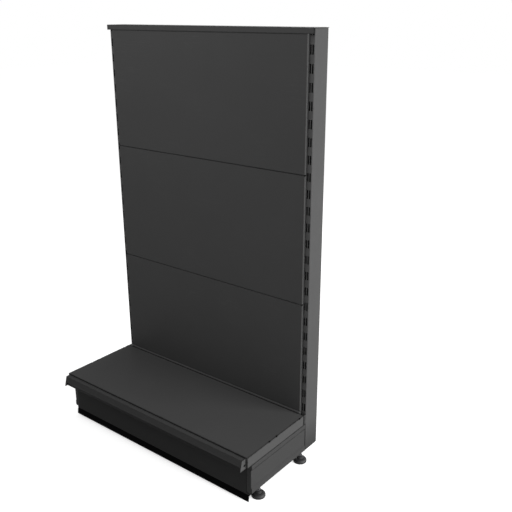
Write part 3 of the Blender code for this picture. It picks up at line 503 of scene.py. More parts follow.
def cloud_group():
    """Uneven tone and roughness of a sprayed or moulded skin, and the height of its fine ripples."""
    tree, given, result = new_group(
        "skin_clouds",
        {"Place": "Vector", "Colour": "Color", "Spread": "Float", "Roughness": "Float", "Fineness": "Float"},
        {"Colour": "Color", "Roughness": "Float", "Height": "Float"})
    broad = noise(tree, given["Place"], scale=3.5, detail=3.0)
    fine = noise(tree, given["Place"], given["Fineness"], detail=1.0)
    clouds = math_node(tree, "MULTIPLY_ADD", fine, RIPPLE_SHARE, broad)
    swing = math_node(tree, "SUBTRACT", clouds, CLOUD_MIDDLE)
    factor = math_node(tree, "MULTIPLY_ADD", swing, given["Spread"], 1.0)
    tone = vector_node(tree, "SCALE", {0: given["Colour"], "Scale": factor})
    rough = math_node(tree, "MULTIPLY_ADD", swing, ROUGH_SWING, given["Roughness"])
    tree.links.new(tone, result["Colour"])
    tree.links.new(rough, result["Roughness"])
    tree.links.new(fine, result["Height"])
    return tree


def between(tree, place, low, high):
    """Distances from a place to the nearer walls of a box along X, Y and Z, less than nought outside."""
    above = vector_node(tree, "SUBTRACT", {0: place, 1: low})
    below = vector_node(tree, "SUBTRACT", {0: high, 1: place})
    return axes(tree, vector_node(tree, "MINIMUM", {0: above, 1: below}))


def fade(tree, value, start, end, kind="LINEAR"):
    """One where a value is at its start or less, nought at its end or more."""
    inputs = {"Value": value, "From Min": start, "From Max": end, "To Min": 1.0, "To Max": 0.0}
    return add_node(tree, "ShaderNodeMapRange", inputs, interpolation_type=kind).outputs[0]


def edge_shade_group():
    """Painted shade along folds, creases and edges: near the edges of a box, broken up by noise.

    An edge is near where the middle one of the three distances to the box's walls is small, and the
    least of them is not far outside.
    """
    tree, given, result = new_group(
        "painted_edge_shade", {"Place": "Vector", "Low": "Vector", "High": "Vector", "Width": "Float"},
        {"Mask": "Float"})
    x, y, z = between(tree, given["Place"], given["Low"], given["High"])
    least = math_node(tree, "MINIMUM", x, y)
    most = math_node(tree, "MAXIMUM", x, y)
    second = math_node(tree, "MAXIMUM", least, math_node(tree, "MINIMUM", most, z))
    outside = math_node(tree, "MULTIPLY", math_node(tree, "MINIMUM", least, z), -1.0)
    breaks = noise(tree, given["Place"], scale=160.0, detail=4.0)
    ragged = math_node(tree, "MULTIPLY", breaks, given["Width"])
    near = fade(tree, math_node(tree, "ABSOLUTE", second), 0.0, ragged)
    inside = fade(tree, outside, ragged, given["Width"])
    tree.links.new(math_node(tree, "MULTIPLY", near, inside), result["Mask"])
    return tree


def scuff_group():
    """Faint long marks from goods and shoes: thin bands of a stretched noise."""
    tree, given, result = new_group(
        "scuffs", {"Place": "Vector", "Stretch": "Vector"}, {"Mask": "Float"})
    place = vector_node(tree, "MULTIPLY", {0: given["Place"], 1: given["Stretch"]})
    band = math_node(tree, "SUBTRACT", noise(tree, place, scale=1.0, detail=3.0), NOISE_MIDDLE)
    line = fade(tree, math_node(tree, "ABSOLUTE", band), 0.0, SCUFF_WIDTH)
    patch = fade(tree, noise(tree, given["Place"], scale=7.0, detail=1.0), SCUFF_FULL, SCUFF_NONE)
    tree.links.new(math_node(tree, "MULTIPLY", line, patch), result["Mask"])
    return tree


GROUPS = {}


def place_group(tree, make, inputs):
    """A node group, built once for all the finishes that need it, placed in a material."""
    if make not in GROUPS:
        GROUPS[make] = make()
    return add_node(tree, "ShaderNodeGroup", inputs, node_tree=GROUPS[make]).outputs


def mix_colour(tree, mask, first, second):
    """One colour over another by a mask."""
    mix = add_node(tree, "ShaderNodeMix", {0: mask, 6: first, 7: second}, data_type="RGBA")
    return mix.outputs[2]


def new_material(name):
    """A material with its Principled shader and its object place."""
    material = bpy.data.materials.new(name)
    material.use_nodes = True
    tree = material.node_tree
    shader = tree.nodes["Principled BSDF"]
    place = tree.nodes.new("ShaderNodeTexCoord").outputs["Object"]
    return material, tree, shader, place


def link_skin(tree, shader, colour, skin, strength, distance):
    """A colour, and a skin's roughness and ripples, on a shader."""
    ripples = add_node(tree, "ShaderNodeBump", {
        "Height": skin["Height"], "Strength": strength, "Distance": distance})
    tree.links.new(colour, shader.inputs["Base Color"])
    tree.links.new(skin["Roughness"], shader.inputs["Roughness"])
    tree.links.new(ripples.outputs[0], shader.inputs["Normal"])


def scaled(colour, factor):
    """A colour made lighter or darker, with full alpha."""
    return (*(channel * factor for channel in colour), 1.0)


def coat_material(name, boxes, tone=1.0, stretch=ALONG_X, dirt=0.6, spread=1.0, gloss=1.0, bands=(),
                  spots=()):
    """Satin powder coat on one piece: cloudy tone, orange peel, faint scuffs, painted shade along the edges
    of boxes and in spots, and in each band, along an axis, another tone that paints a highlight or a shade."""
    coat = bpy.context.scene.end_unit_coat
    material, tree, shader, place = new_material(name)
    skin = place_group(tree, cloud_group, {
        "Place": place, "Colour": scaled(coat.colour, tone), "Spread": 0.14,
        "Roughness": coat.roughness, "Fineness": 1 / coat.peel})
    marks = place_group(tree, scuff_group, {"Place": place, "Stretch": stretch})
    faint = math_node(tree, "MULTIPLY", marks["Mask"], SCUFF_SHOW)
    colour = mix_colour(tree, faint, skin["Colour"], scaled(coat.colour, SCUFF_TONE * tone))
    dirty = scaled(coat.colour, SHADE_TONE * tone)
    # Painted shade along the edges of each box
    for low, high in boxes:
        edge_shade = place_group(tree, edge_shade_group, {
            "Place": place, "Low": low, "High": high, "Width": coat.edge_shade * spread})
        mask = math_node(tree, "MULTIPLY", edge_shade["Mask"], dirt)
        colour = mix_colour(tree, mask, colour, dirty)
    # Painted shade in a spot round each notch and hole
    for spot in spots:
        away = vector_node(tree, "DISTANCE", {0: place, 1: spot}, "Value")
        mask = fade(tree, away, coat.edge_shade * SPOT_CORE, coat.edge_shade)
        colour = mix_colour(tree, mask, colour, dirty)
    # Each band paints its tone over the skin: a highlight where the factor is above one, a shade where it is
    # below
    for axis, full, none, factor in bands:
        clean = vector_node(tree, "SCALE", {0: skin["Colour"], "Scale": factor})
        colour = mix_colour(tree, fade(tree, axes(tree, place)[axis], full, none), colour, clean)
    shader.inputs["Specular IOR Level"].default_value = coat.gloss * gloss
    link_skin(tree, shader, colour, skin, strength=0.05, distance=0.0003)
    return material


def coat_node(name, boxes=None, **finish):
    """Give a CAD node the powder coat, with painted shade along the edges of its own box or of others."""
    dress(name, coat_material(f"coat_{name}", boxes or [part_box(name)], **finish))


def plastic_material(name, colour, stretch, roughness, fineness, specular, sole=0.0):
    """Moulded or extruded plastic: a fine skin, stretched along the way it was drawn, and darker below
    the height of a sole, a painted shade where it stands on the floor."""
    material, tree, shader, place = new_material(name)
    drawn = vector_node(tree, "MULTIPLY", {0: place, 1: stretch})
    skin = place_group(tree, cloud_group, {
        "Place": drawn, "Colour": scaled(colour, 1.0), "Spread": 0.35,
        "Roughness": roughness, "Fineness": fineness})
    # Painted shade below the sole's height
    below = fade(tree, axes(tree, place)["Z"], sole / 2, sole)
    sole_shade = mix_colour(tree, below, skin["Colour"], scaled(colour, SHADE_TONE))
    shader.inputs["Specular IOR Level"].default_value = specular
    link_skin(tree, shader, sole_shade, skin, strength=0.12, distance=0.0002)
    return material


def plated_material(name, colour, tint):
    """Zinc plate: cloudy, with a fine grain and a faint tint in patches."""
    material, tree, shader, place = new_material(name)
    skin = place_group(tree, cloud_group, {
        "Place": place, "Colour": scaled(colour, 1.0), "Spread": 0.30,
        "Roughness": 0.36, "Fineness": 900.0})
    patch = add_node(tree, "ShaderNodeMapRange", {
        "Value": noise(tree, place, scale=140.0, detail=3.0),
        "From Min": 0.50, "From Max": 0.72, "To Max": 0.45})
    tinted = mix_colour(tree, patch.outputs[0], skin["Colour"], scaled(tint, 1.0))
    shader.inputs["Metallic"].default_value = 1.0
    link_skin(tree, shader, tinted, skin, strength=0.08, distance=0.0001)
    return material


def shared_material(name, make, *values, **finish):
    """A finish built once and used by several pieces."""
    return bpy.data.materials.get(name) or make(name, *values, **finish)


def zinc():
    """Bright zinc with a straw tint."""
    sizes = bpy.context.scene.end_unit_fasteners
    return shared_material("zinc_plate_finish", plated_material, sizes.zinc_colour, sizes.zinc_tint)


def blackened():
    """Black zinc with a brown tint; its darkness is partly a guessed finish and partly painted shade under
    the legs.
    """
    sizes = bpy.context.scene.end_unit_fasteners
    return shared_material("black_zinc_finish", plated_material, sizes.stem_colour, sizes.stem_tint)


def nylon():
    """The moulded finish of feet and plugs."""
    sizes = bpy.context.scene.end_unit_fasteners
    return shared_material("black_nylon_finish", plastic_material, sizes.pad_colour, MOULDED,
                           roughness=0.50, fineness=1100.0, specular=0.30, sole=sizes.pad_rim)


# Pieces


class ENDUNIT_OT_uprights(bpy.types.Operator):
    """Coat the two slotted uprights"""

    bl_idname = "end_unit.uprights"
    bl_label = "Uprights"

    def execute(self, context):
        coat = context.scene.end_unit_coat
        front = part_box("upright_right")[0].y
        # Painted light on the slotted front faces, and painted shade near the floor
        bands = [("Y", front + coat.edge_shade / 8, front + coat.edge_shade / 4, coat.front_tone),
                 ("Z", coat.foot_full, coat.foot_none, coat.foot_tone)]
        for side in SIDES:
            coat_node(f"upright_{side}", stretch=ALONG_Z, dirt=UPRIGHT_SHADE, bands=bands)
        return {"FINISHED"}


class ENDUNIT_OT_back(bpy.types.Operator):
    """Coat the back panels, the tie rails and the top cap"""

    bl_idname = "end_unit.back"
    bl_label = "Back panels, rails and cap"

    def execute(self, context):
        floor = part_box("base_shelf")[1].z
        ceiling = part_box("top_cap")[0].z
        wide = 2 * context.scene.end_unit_coat.edge_shade
        # Painted shade along each panel's top and foot: below the cap, above the deck's upstand and in the
        # seams
        for name in PANELS:
            low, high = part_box(name)
            low.z, high.z = max(low.z, floor), min(high.z, ceiling)
            low.x, high.x = low.x - wide, high.x + wide
            coat_node(name, [(low, high)], dirt=PANEL_SHADE)
        for name in (*RAILS, "top_cap"):
            coat_node(name)
        return {"FINISHED"}


class ENDUNIT_OT_base(bpy.types.Operator):
    """Coat the base shelf with its stiffener, the legs with their hook plates, and the plinth"""

    bl_idname = "end_unit.base"
    bl_label = "Base shelf, legs and plinth"

    def execute(self, context):
        coat = context.scene.end_unit_coat
        # Painted shade along the deck's edges, its rear crease and where its sides meet the uprights
        low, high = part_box("base_shelf")
        high.y, high.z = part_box("lower_back_panel")[0].y - coat.deck_gap, high.z - coat.deck_upstand
        # Painted highlight on the rear upstand, above the deck's top
        crest = ("Z", high.z + coat.edge_shade / 2, high.z + coat.edge_shade / 3, coat.upstand_tone)
        coat_node("base_shelf", [(low, high), self.beside_uprights(low, high)], tone=coat.deck_tone,
                  dirt=DECK_SHADE, spread=DECK_SPREAD, gloss=coat.dull, bands=[crest],
                  spots=self.notches(context.scene.end_unit_insets, high))
        coat_node("shelf_stiffener")
        # The plinth's darker tone is painted shade under the deck and price strip
        coat_node("plinth_panel", tone=coat.plinth_tone, gloss=coat.dull)
        for side in SIDES:
            leg = f"base_leg_{side}"
            # Painted shade along the leg's edges and round its pressed panel
            coat_node(leg, [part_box(leg), self.pressed(leg, coat)], tone=coat.leg_tone,
                      stretch=ALONG_Y, dirt=LEG_SHADE, spread=LEG_SPREAD)
            coat_node(f"leg_hook_plate_{side}", tone=coat.leg_tone)
        return {"FINISHED"}

    def beside_uprights(self, low, high):
        """A tall box whose rear edges stand where the deck's sides meet the uprights."""
        return (Vector((low.x, low.y - high.z, -high.z)),
                Vector((high.x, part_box("upright_right")[0].y, 2 * high.z)))

    def notches(self, inset, high):
        """The middles of the notches in the deck's two edges, where spots of painted shade go."""
        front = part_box("upright_right")[0].y
        return [(side * high.x, front - setback, high.z)
                for side in SIDES.values() for setback in inset.notch_setbacks]

    def pressed(self, leg, coat):
        """The box of a leg's pressed panel below its upper ridge, drawn out past the leg's ends and foot."""
        low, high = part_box(leg)
        past = -2 * coat.edge_shade
        return (low + Vector((coat.leg_swage, past, past)),
                high - Vector((coat.leg_swage, past, coat.leg_ridge)))


class ENDUNIT_OT_price_strip(bpy.types.Operator):
    """Make the price strip with its ticket rims, and coat its end plates"""

    bl_idname = "end_unit.price_strip"
    bl_label = "Price strip"

    stations: bpy.props.IntProperty(name="Stations", description="Rows of points along the strip", default=9)

    def execute(self, context):
        coat, trim = context.scene.end_unit_coat, context.scene.end_unit_trim
        low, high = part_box("price_strip")
        surface = capped(carried(self.profile(trim, low, high), np.linspace(low.x, high.x, self.stations)))
        lip = high.z + (low.z - high.z) * trim.strip_share
        # Painted shade on the lip below the strip's face
        material = coat_material("coat_price_strip", [(low, high)], coat.strip_tone, gloss=coat.dull,
                                 bands=[("Z", lip - coat.edge_shade / 4, lip, coat.lip_tone)])
        add_piece("price_strip_dressed", surface, material, "frame", "price_strip")
        for side in SIDES:
            name = f"price_strip_end_{side}"
            coat_node(name, spots=[self.hole(trim, name)])
        return {"FINISHED"}

    def hole(self, trim, name):
        """The middle of the small hole in an end plate, where a spot of painted shade goes."""
        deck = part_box("base_shelf")[0].y
        return (middle_of(name).x, deck - trim.hole_forward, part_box("price_strip")[1].z - trim.hole_drop)

    def profile(self, trim, low, high):
        """The folded line of the strip, from its rear flange over the top land, down the face that is set
        back between its two rims, and by the lip to the foot, given a thickness by a line beside it."""
        rear = high.y - trim.strip_foot
        brow = Vector((rear - trim.strip_top, high.z))
        lip = Vector((low.y, high.z + (low.z - high.z) * trim.strip_share))
        down = (lip - brow).normalized()
        inward = Vector((-down.y, down.x))
        rim, recess, face = trim.ticket_rim, trim.ticket_recess, (lip - brow).length
        ticket = [brow + down * along + inward * depth for along, depth in (
            (rim, 0), (rim + recess, recess), (face - rim - recess, recess), (face - rim, 0))]
        line = [(rear, high.z - trim.strip_flange), (rear, high.z), brow, *ticket, lip,
                (lip.x + trim.strip_lip, low.z), (high.y, low.z)]
        outline = np.concatenate([line, beside(line, trim.strip_sheet)[::-1]])
        edge, fold, hollow = trim.strip_edge, trim.strip_fold, trim.strip_fold - trim.strip_sheet
        outer = [edge, fold, fold, edge, edge, edge, edge, fold, fold, edge]
        inner = [edge, hollow, hollow, edge, edge, edge, edge, hollow, hollow, edge]
        return rounded(outline, outer + inner[::-1])


class ENDUNIT_OT_seal(bpy.types.Operator):
    """Make the black seal below the plinth"""

    bl_idname = "end_unit.seal"
    bl_label = "Floor seal"

    stations: bpy.props.IntProperty(name="Stations", description="Rows of points along the seal", default=17)

    def execute(self, context):
        trim = context.scene.end_unit_trim
        low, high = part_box("plinth_seal")
        surface = capped(carried(self.profile(trim, low, high), np.linspace(low.x, high.x, self.stations)))
        material = plastic_material("black_pvc_finish", trim.seal_colour, EXTRUDED,
                                    roughness=0.70, fineness=500.0, specular=0.01)
        add_piece("plinth_seal_lip", surface, material, "frame", "plinth_seal")
        return {"FINISHED"}

    def profile(self, trim, low, high):
        """A flange below the plinth, folded down to a lip that leans out and ends level."""
        line = [(high.y, high.z), (low.y + trim.seal_slant, high.z), (low.y, low.z)]
        outline = np.concatenate([line, beside(line, trim.seal_sheet)[::-1]])
        outline[2:4, 1] = low.z
        edge, hollow = trim.seal_edge, trim.seal_fold - trim.seal_sheet
        return rounded(outline, [hollow, trim.seal_fold, edge, edge, hollow, hollow])


class ENDUNIT_OT_feet(bpy.types.Operator):
    """Make the four levelling feet: moulded pads, threaded stems and nuts"""

    bl_idname = "end_unit.feet"
    bl_label = "Levelling feet"

    columns: bpy.props.IntProperty(name="Columns", description="Faces round a foot", default=48)

    def execute(self, context):
        sizes = context.scene.end_unit_fasteners
        for corner in CORNERS:
            self.pad(corner, sizes)
            self.stem(corner, sizes)
            self.nut(corner, sizes)
        return {"FINISHED"}

    def placed(self, rings, node):
        """Rings moved from the axis to a foot's own."""
        middle = middle_of(node)
        return rings + np.array([middle.x, middle.y, 0.0])

    def pad(self, corner, sizes):
        """A turned profile: the socket, the neck, a hollow quarter circle, a quarter ellipse down the
        crown, a rim with a groove round it, and a sole dished inside its edge."""
        name = f"foot_pad_{corner}"
        low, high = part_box(name)
        radius = (high.x - low.x) / 2
        socket, floor, edge = sizes.stem_radius + sizes.clearance, sizes.pad_floor, sizes.edge
        neck, fillet, crown, rim = sizes.pad_neck, sizes.pad_fillet, sizes.pad_crown, sizes.pad_rim
        quarter = np.linspace(0, math.pi / 2, self.columns // 4)
        start = neck + fillet
        hollow = np.stack([start - fillet * np.cos(quarter), crown + fillet * (1 - np.sin(quarter))], -1)
        curve = np.stack([start + (radius - start) * np.sin(quarter),
                          rim + (crown - rim) * np.cos(quarter)], -1)
        groove = np.array([[radius, rim - edge], [radius - edge, rim - 2 * edge],
                           [radius - edge, rim - 3 * edge], [radius, rim - 4 * edge]])
        mouth = np.array([[edge, floor], [socket, floor], [socket, high.z - edge], [socket + edge, high.z],
                          [neck - edge, high.z], [neck, high.z - edge]])
        sole = np.array([[radius, edge], [radius - edge, 0], [radius - rim, 0], [radius - rim - edge, edge],
                         [edge, edge]])
        profile = np.concatenate([mouth, hollow[:-1], curve, groove, sole])
        rings = lathe(profile, self.columns)[::-1]
        add_piece(f"{name}_moulded", closed_tube(self.placed(rings, name)), nylon(), f"pad_{corner}",
                  name)

    def stem(self, corner, sizes):
        """A screw with a hexagon collar: plain in the pad, chamfered flats, then thread to the top."""
        name = f"foot_stem_{corner}"
        low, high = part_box(name)
        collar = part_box(f"foot_pad_{corner}")[1].z + sizes.clearance
        radius, pitch, edge = sizes.stem_radius, sizes.pitch, sizes.edge
        rise = np.linspace(0, sizes.collar_height, self.columns // 4 + 1)[:, None]
        hexed = chamfered(sizes.collar_flats, np.minimum(rise, rise[::-1]), self.columns)
        start = collar + sizes.collar_height
        height = np.arange(start, high.z, pitch / THREAD_STEPS)[:, None]
        cut = thread(height, pitch, self.columns) * np.clip((height - start) / pitch, 0, 1)
        point = np.clip(height - high.z + 2 * edge, 0, None)
        plain = [[radius - edge, low.z], [radius, low.z + edge], [radius, collar]]
        rings = np.concatenate([
            lathe(plain, self.columns),
            turned(hexed, collar + rise, self.columns),
            turned(np.minimum(radius - cut, radius - point), height, self.columns),
            lathe([[radius - 2 * edge, high.z]], self.columns)])
        add_piece(f"{name}_threaded", closed_tube(self.placed(rings, name)), blackened(), f"stem_{corner}",
                  name)

    def nut(self, corner, sizes):
        """A ring: the bore, flat faces, and hexagon flats cut back by a cone at each end."""
        name = f"foot_nut_{corner}"
        low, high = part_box(name)
        rise = np.linspace(0, high.z - low.z, self.columns // 4 + 1)[:, None]
        hexed = chamfered(high.x - low.x, np.minimum(rise, rise[::-1]), self.columns)
        bore, edge = sizes.stem_radius + sizes.clearance, sizes.edge
        inner = [[bore + edge, high.z], [bore, high.z - edge], [bore, low.z + edge], [bore + edge, low.z]]
        rings = np.concatenate([turned(hexed, low.z + rise, self.columns), lathe(inner, self.columns)])
        add_piece(f"{name}_chamfered", closed_ring(self.placed(rings, name)), zinc(), "frame",
                  name)


class ENDUNIT_OT_bolts(bpy.types.Operator):
    """Make the eight hexagon bolts of the tie rails"""

    bl_idname = "end_unit.bolts"
    bl_label = "Rail bolts"

    columns: bpy.props.IntProperty(name="Columns", description="Faces round a bolt", default=48)

    def execute(self, context):
        sizes = context.scene.end_unit_fasteners
        for rail in RAILS:
            for side_name, side in SIDES.items():
                name = f"{rail}_bolt_{side_name}"
                surface = closed_tube(self.rings(name, side, sizes))
                add_piece(f"{name}_hexagon", surface, zinc(), "frame", name)
        return {"FINISHED"}

    def rings(self, name, side, sizes):
        """A head with a dished top, flats cut back by a cone, a washer face, and a thread to the end. The
        axis, drawn along Z, is laid along X: x = side z, y = y, z = -side x, a turn about Y."""
        low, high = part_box(name)
        length = high.x - low.x
        flats = high.z - low.z
        head, radius, edge = sizes.bolt_head, sizes.bolt_radius, sizes.edge
        start = flats * CHAMFER_START
        rise = np.linspace(0, head - edge, self.columns // 4)[:, None]
        dish = [[start - 3 * edge, edge], [start - edge, 0]]
        washer = [[start, head - edge], [start, head], [radius, head]]
        height = np.arange(head, length - edge, sizes.bolt_pitch / THREAD_STEPS)[:, None]
        rings = np.concatenate([
            lathe(dish, self.columns),
            turned(chamfered(flats, rise, self.columns), rise, self.columns),
            lathe(washer, self.columns),
            turned(radius - thread(height, sizes.bolt_pitch, self.columns), height, self.columns),
            lathe([[radius - 2 * edge, length]], self.columns)])
        middle = (low + high) / 2
        head_x = low.x if side > 0 else high.x
        laid = np.stack([side * rings[..., 2], rings[..., 1], -side * rings[..., 0]], -1)
        return laid + np.array([head_x, middle.y, middle.z])


class ENDUNIT_OT_plugs(bpy.types.Operator):
    """Make the plugs that close the uprights below"""

    bl_idname = "end_unit.plugs"
    bl_label = "Upright plugs"

    steps: bpy.props.IntProperty(name="Corner steps", description="Faces round a corner", default=6)

    def execute(self, context):
        trim = context.scene.end_unit_trim
        for side in SIDES:
            low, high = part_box(f"upright_{side}")
            add_piece(f"upright_plug_{side}", closed_tube(self.rings(low, high, trim)), nylon(), "frame")
        return {"FINISHED"}

    def rings(self, low, high, trim):
        """A rounded rectangle drawn in by an inset at each height: a flange, then a body in the tube."""
        inset, wall, corner = trim.plug_inset, trim.plug_wall, trim.plug_corner
        gap = inset / 2
        steps = np.array([
            [wall, -trim.plug_flange], [2 * inset, -trim.plug_flange], [inset, inset - trim.plug_flange],
            [inset, -gap], [wall, -gap], [wall, trim.plug_depth - 2 * inset],
            [wall + inset, trim.plug_depth]])
        half = np.array([high.x - low.x, high.y - low.y]) / 2 - corner
        signs = np.array([[1, 1], [-1, 1], [-1, -1], [1, -1]])
        angle = np.arange(4)[:, None] * math.pi / 2 + np.linspace(0, math.pi / 2, self.steps + 1)
        spoke = np.stack([np.cos(angle), np.sin(angle)], -1)
        outline = (signs * half)[None, :, None] + (corner - steps[:, 0])[:, None, None, None] * spoke
        rings = np.empty((len(steps), 4 * (self.steps + 1), 3))
        rings[..., :2] = outline.reshape(len(steps), -1, 2) + [(low.x + high.x) / 2, (low.y + high.y) / 2]
        rings[..., 2] = (low.z + steps[:, 1])[:, None]
        return rings


class ENDUNIT_OT_welds(bpy.types.Operator):
    """Make the spot welds of the shelf's stiffener"""

    bl_idname = "end_unit.welds"
    bl_label = "Spot welds"

    columns: bpy.props.IntProperty(name="Columns", description="Faces round a weld", default=20)

    def execute(self, context):
        sizes = context.scene.end_unit_fasteners
        low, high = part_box("shelf_stiffener")
        flange = sizes.weld_flange
        count = int((high.x - low.x - 2 * flange) / sizes.weld_spacing) + 1
        row = (np.arange(count) - (count - 1) / 2) * sizes.weld_spacing
        rows = [low.y + flange / 2, high.y - flange / 2]
        mark = self.mark(sizes)
        welds = [closed_tube(mark + np.array([x, y, high.z - sizes.weld_sheet])) for y in rows for x in row]
        material = coat_material("coat_spot_welds", [(low, high)], WELD_TONE)
        add_piece("stiffener_spot_welds", joined(welds), material, "frame")
        return {"FINISHED"}

    def mark(self, sizes):
        """A dished button with a raised ring, on the lower face: shares of the radius, and depths in
        tenths of it."""
        shares = np.array([[0.4, 0.7], [0.9, 0.7], [1.0, 0.0], [0.86, -1.1], [0.72, -1.0], [0.55, -0.3],
                           [0.25, -0.2]])
        radius = sizes.weld_radius
        return turned(shares[:, :1] * radius, shares[:, 1:] * radius / 10, self.columns)[::-1]


def flat_bar(low, high, radius):
    """A bar along X: a rounded rectangle in Y and Z, carried from one end to the other."""
    corners = [(low.y, low.z), (high.y, low.z), (high.y, high.z), (low.y, high.z)]
    return capped(carried(rounded(corners, radius), [low.x, high.x]))


class ENDUNIT_OT_deck_plates(bpy.types.Operator):
    """Make the small plates welded in the deck: behind its edge notches and in its front corners"""

    bl_idname = "end_unit.deck_plates"
    bl_label = "Deck plates"

    def execute(self, context):
        inset, coat = context.scene.end_unit_insets, context.scene.end_unit_coat
        low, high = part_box("base_shelf")
        high.z -= coat.deck_upstand + inset.deck_sheet
        rear, *front = inset.notch_setbacks
        for side_name, side in SIDES.items():
            plates = [self.notch_plate(inset, side, high, span) for span in ((rear, rear), front)]
            # The notch plates take the lip's dark tone: dark sheets as painted shade inside the notches
            material = coat_material(f"coat_notch_plates_{side_name}", [(low, high)], coat.lip_tone)
            add_piece(f"notch_plates_{side_name}", joined(plates), material, "frame")
            gusset = self.gusset(inset, side, low, high)
            material = coat_material(f"coat_corner_gusset_{side_name}", [(low, high)])
            add_piece(f"corner_gusset_{side_name}", gusset, material, "frame")
        return {"FINISHED"}

    def bar(self, side, inner, outer, start, end, radius):
        """A bar on one side of the unit, from an inner X to an outer one, between two (y, z) corners."""
        low_x, high_x = sorted((side * inner, side * outer))
        return flat_bar(Vector((low_x, *start)), Vector((high_x, *end)), radius)

    def notch_plate(self, inset, side, high, span):
        """A plate under the deck, from before one notch to behind another."""
        outer = high.x - inset.notch_inset
        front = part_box("upright_right")[0].y
        start = (front - span[1] - inset.notch_margin, high.z - inset.notch_height)
        end = (front - span[0] + inset.notch_margin, high.z - inset.gap)
        return self.bar(side, outer - inset.deck_sheet, outer, start, end, inset.corner)

    def gusset(self, inset, side, low, high):
        """A plate from behind the deck's front fold to its side, and from the side's foot to the top."""
        sheet = inset.deck_sheet
        inner, outer = high.x - inset.gusset_reach, high.x - sheet
        start = (low.y + sheet + inset.gap, low.z + sheet)
        end = (low.y + 2 * sheet, high.z)
        return self.bar(side, inner, outer, start, end, inset.gap)


class ENDUNIT_OT_tapes(bpy.types.Operator):
    """Make the black tapes in the back panels' seams, dark as painted shade there, and the guards on the
    plinth's ends
    """

    bl_idname = "end_unit.tapes"
    bl_label = "Seam tapes and edge guards"

    def execute(self, context):
        inset, trim = context.scene.end_unit_insets, context.scene.end_unit_trim
        material = plastic_material("black_tape_finish", trim.seal_colour, EXTRUDED,
                                    roughness=0.80, fineness=700.0, specular=0.01)
        # The black tape in each seam is a dark sheet standing for the seam's shade
        for above, below in zip(PANELS, PANELS[1:]):
            top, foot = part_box(above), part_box(below)
            low = Vector((top[0].x + inset.tape_inset, top[0].y + inset.tape_setback, foot[1].z + inset.gap))
            high = Vector((-low.x, low.y + inset.tape_depth, top[0].z - inset.gap))
            add_piece(f"seam_tape_{below}", flat_bar(low, high, inset.gap), material, "frame")
        for side in SIDES:
            guard = flat_bar(*self.guard(inset, side), inset.gap)
            add_piece(f"plinth_guard_{side}", guard, material, "frame")
        return {"FINISHED"}

    def guard(self, inset, side):
        """The low and high corners of the gap between the plinth's end and a leg."""
        leg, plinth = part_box(f"base_leg_{side}"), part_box("plinth_panel")
        inner = leg[1].x if side == "left" else leg[0].x - inset.guard_width
        low = Vector((inner, plinth[0].y, leg[0].z))
        return low, Vector((inner + inset.guard_width, low.y + inset.guard_sheet, plinth[1].z))


class ENDUNIT_OT_clips(bpy.types.Operator):
    """Plate the plinth's spring clips"""

    bl_idname = "end_unit.clips"
    bl_label = "Plinth clips"

    def execute(self, context):
        for side in SIDES:
            dress(f"plinth_clip_{side}", zinc())
        return {"FINISHED"}


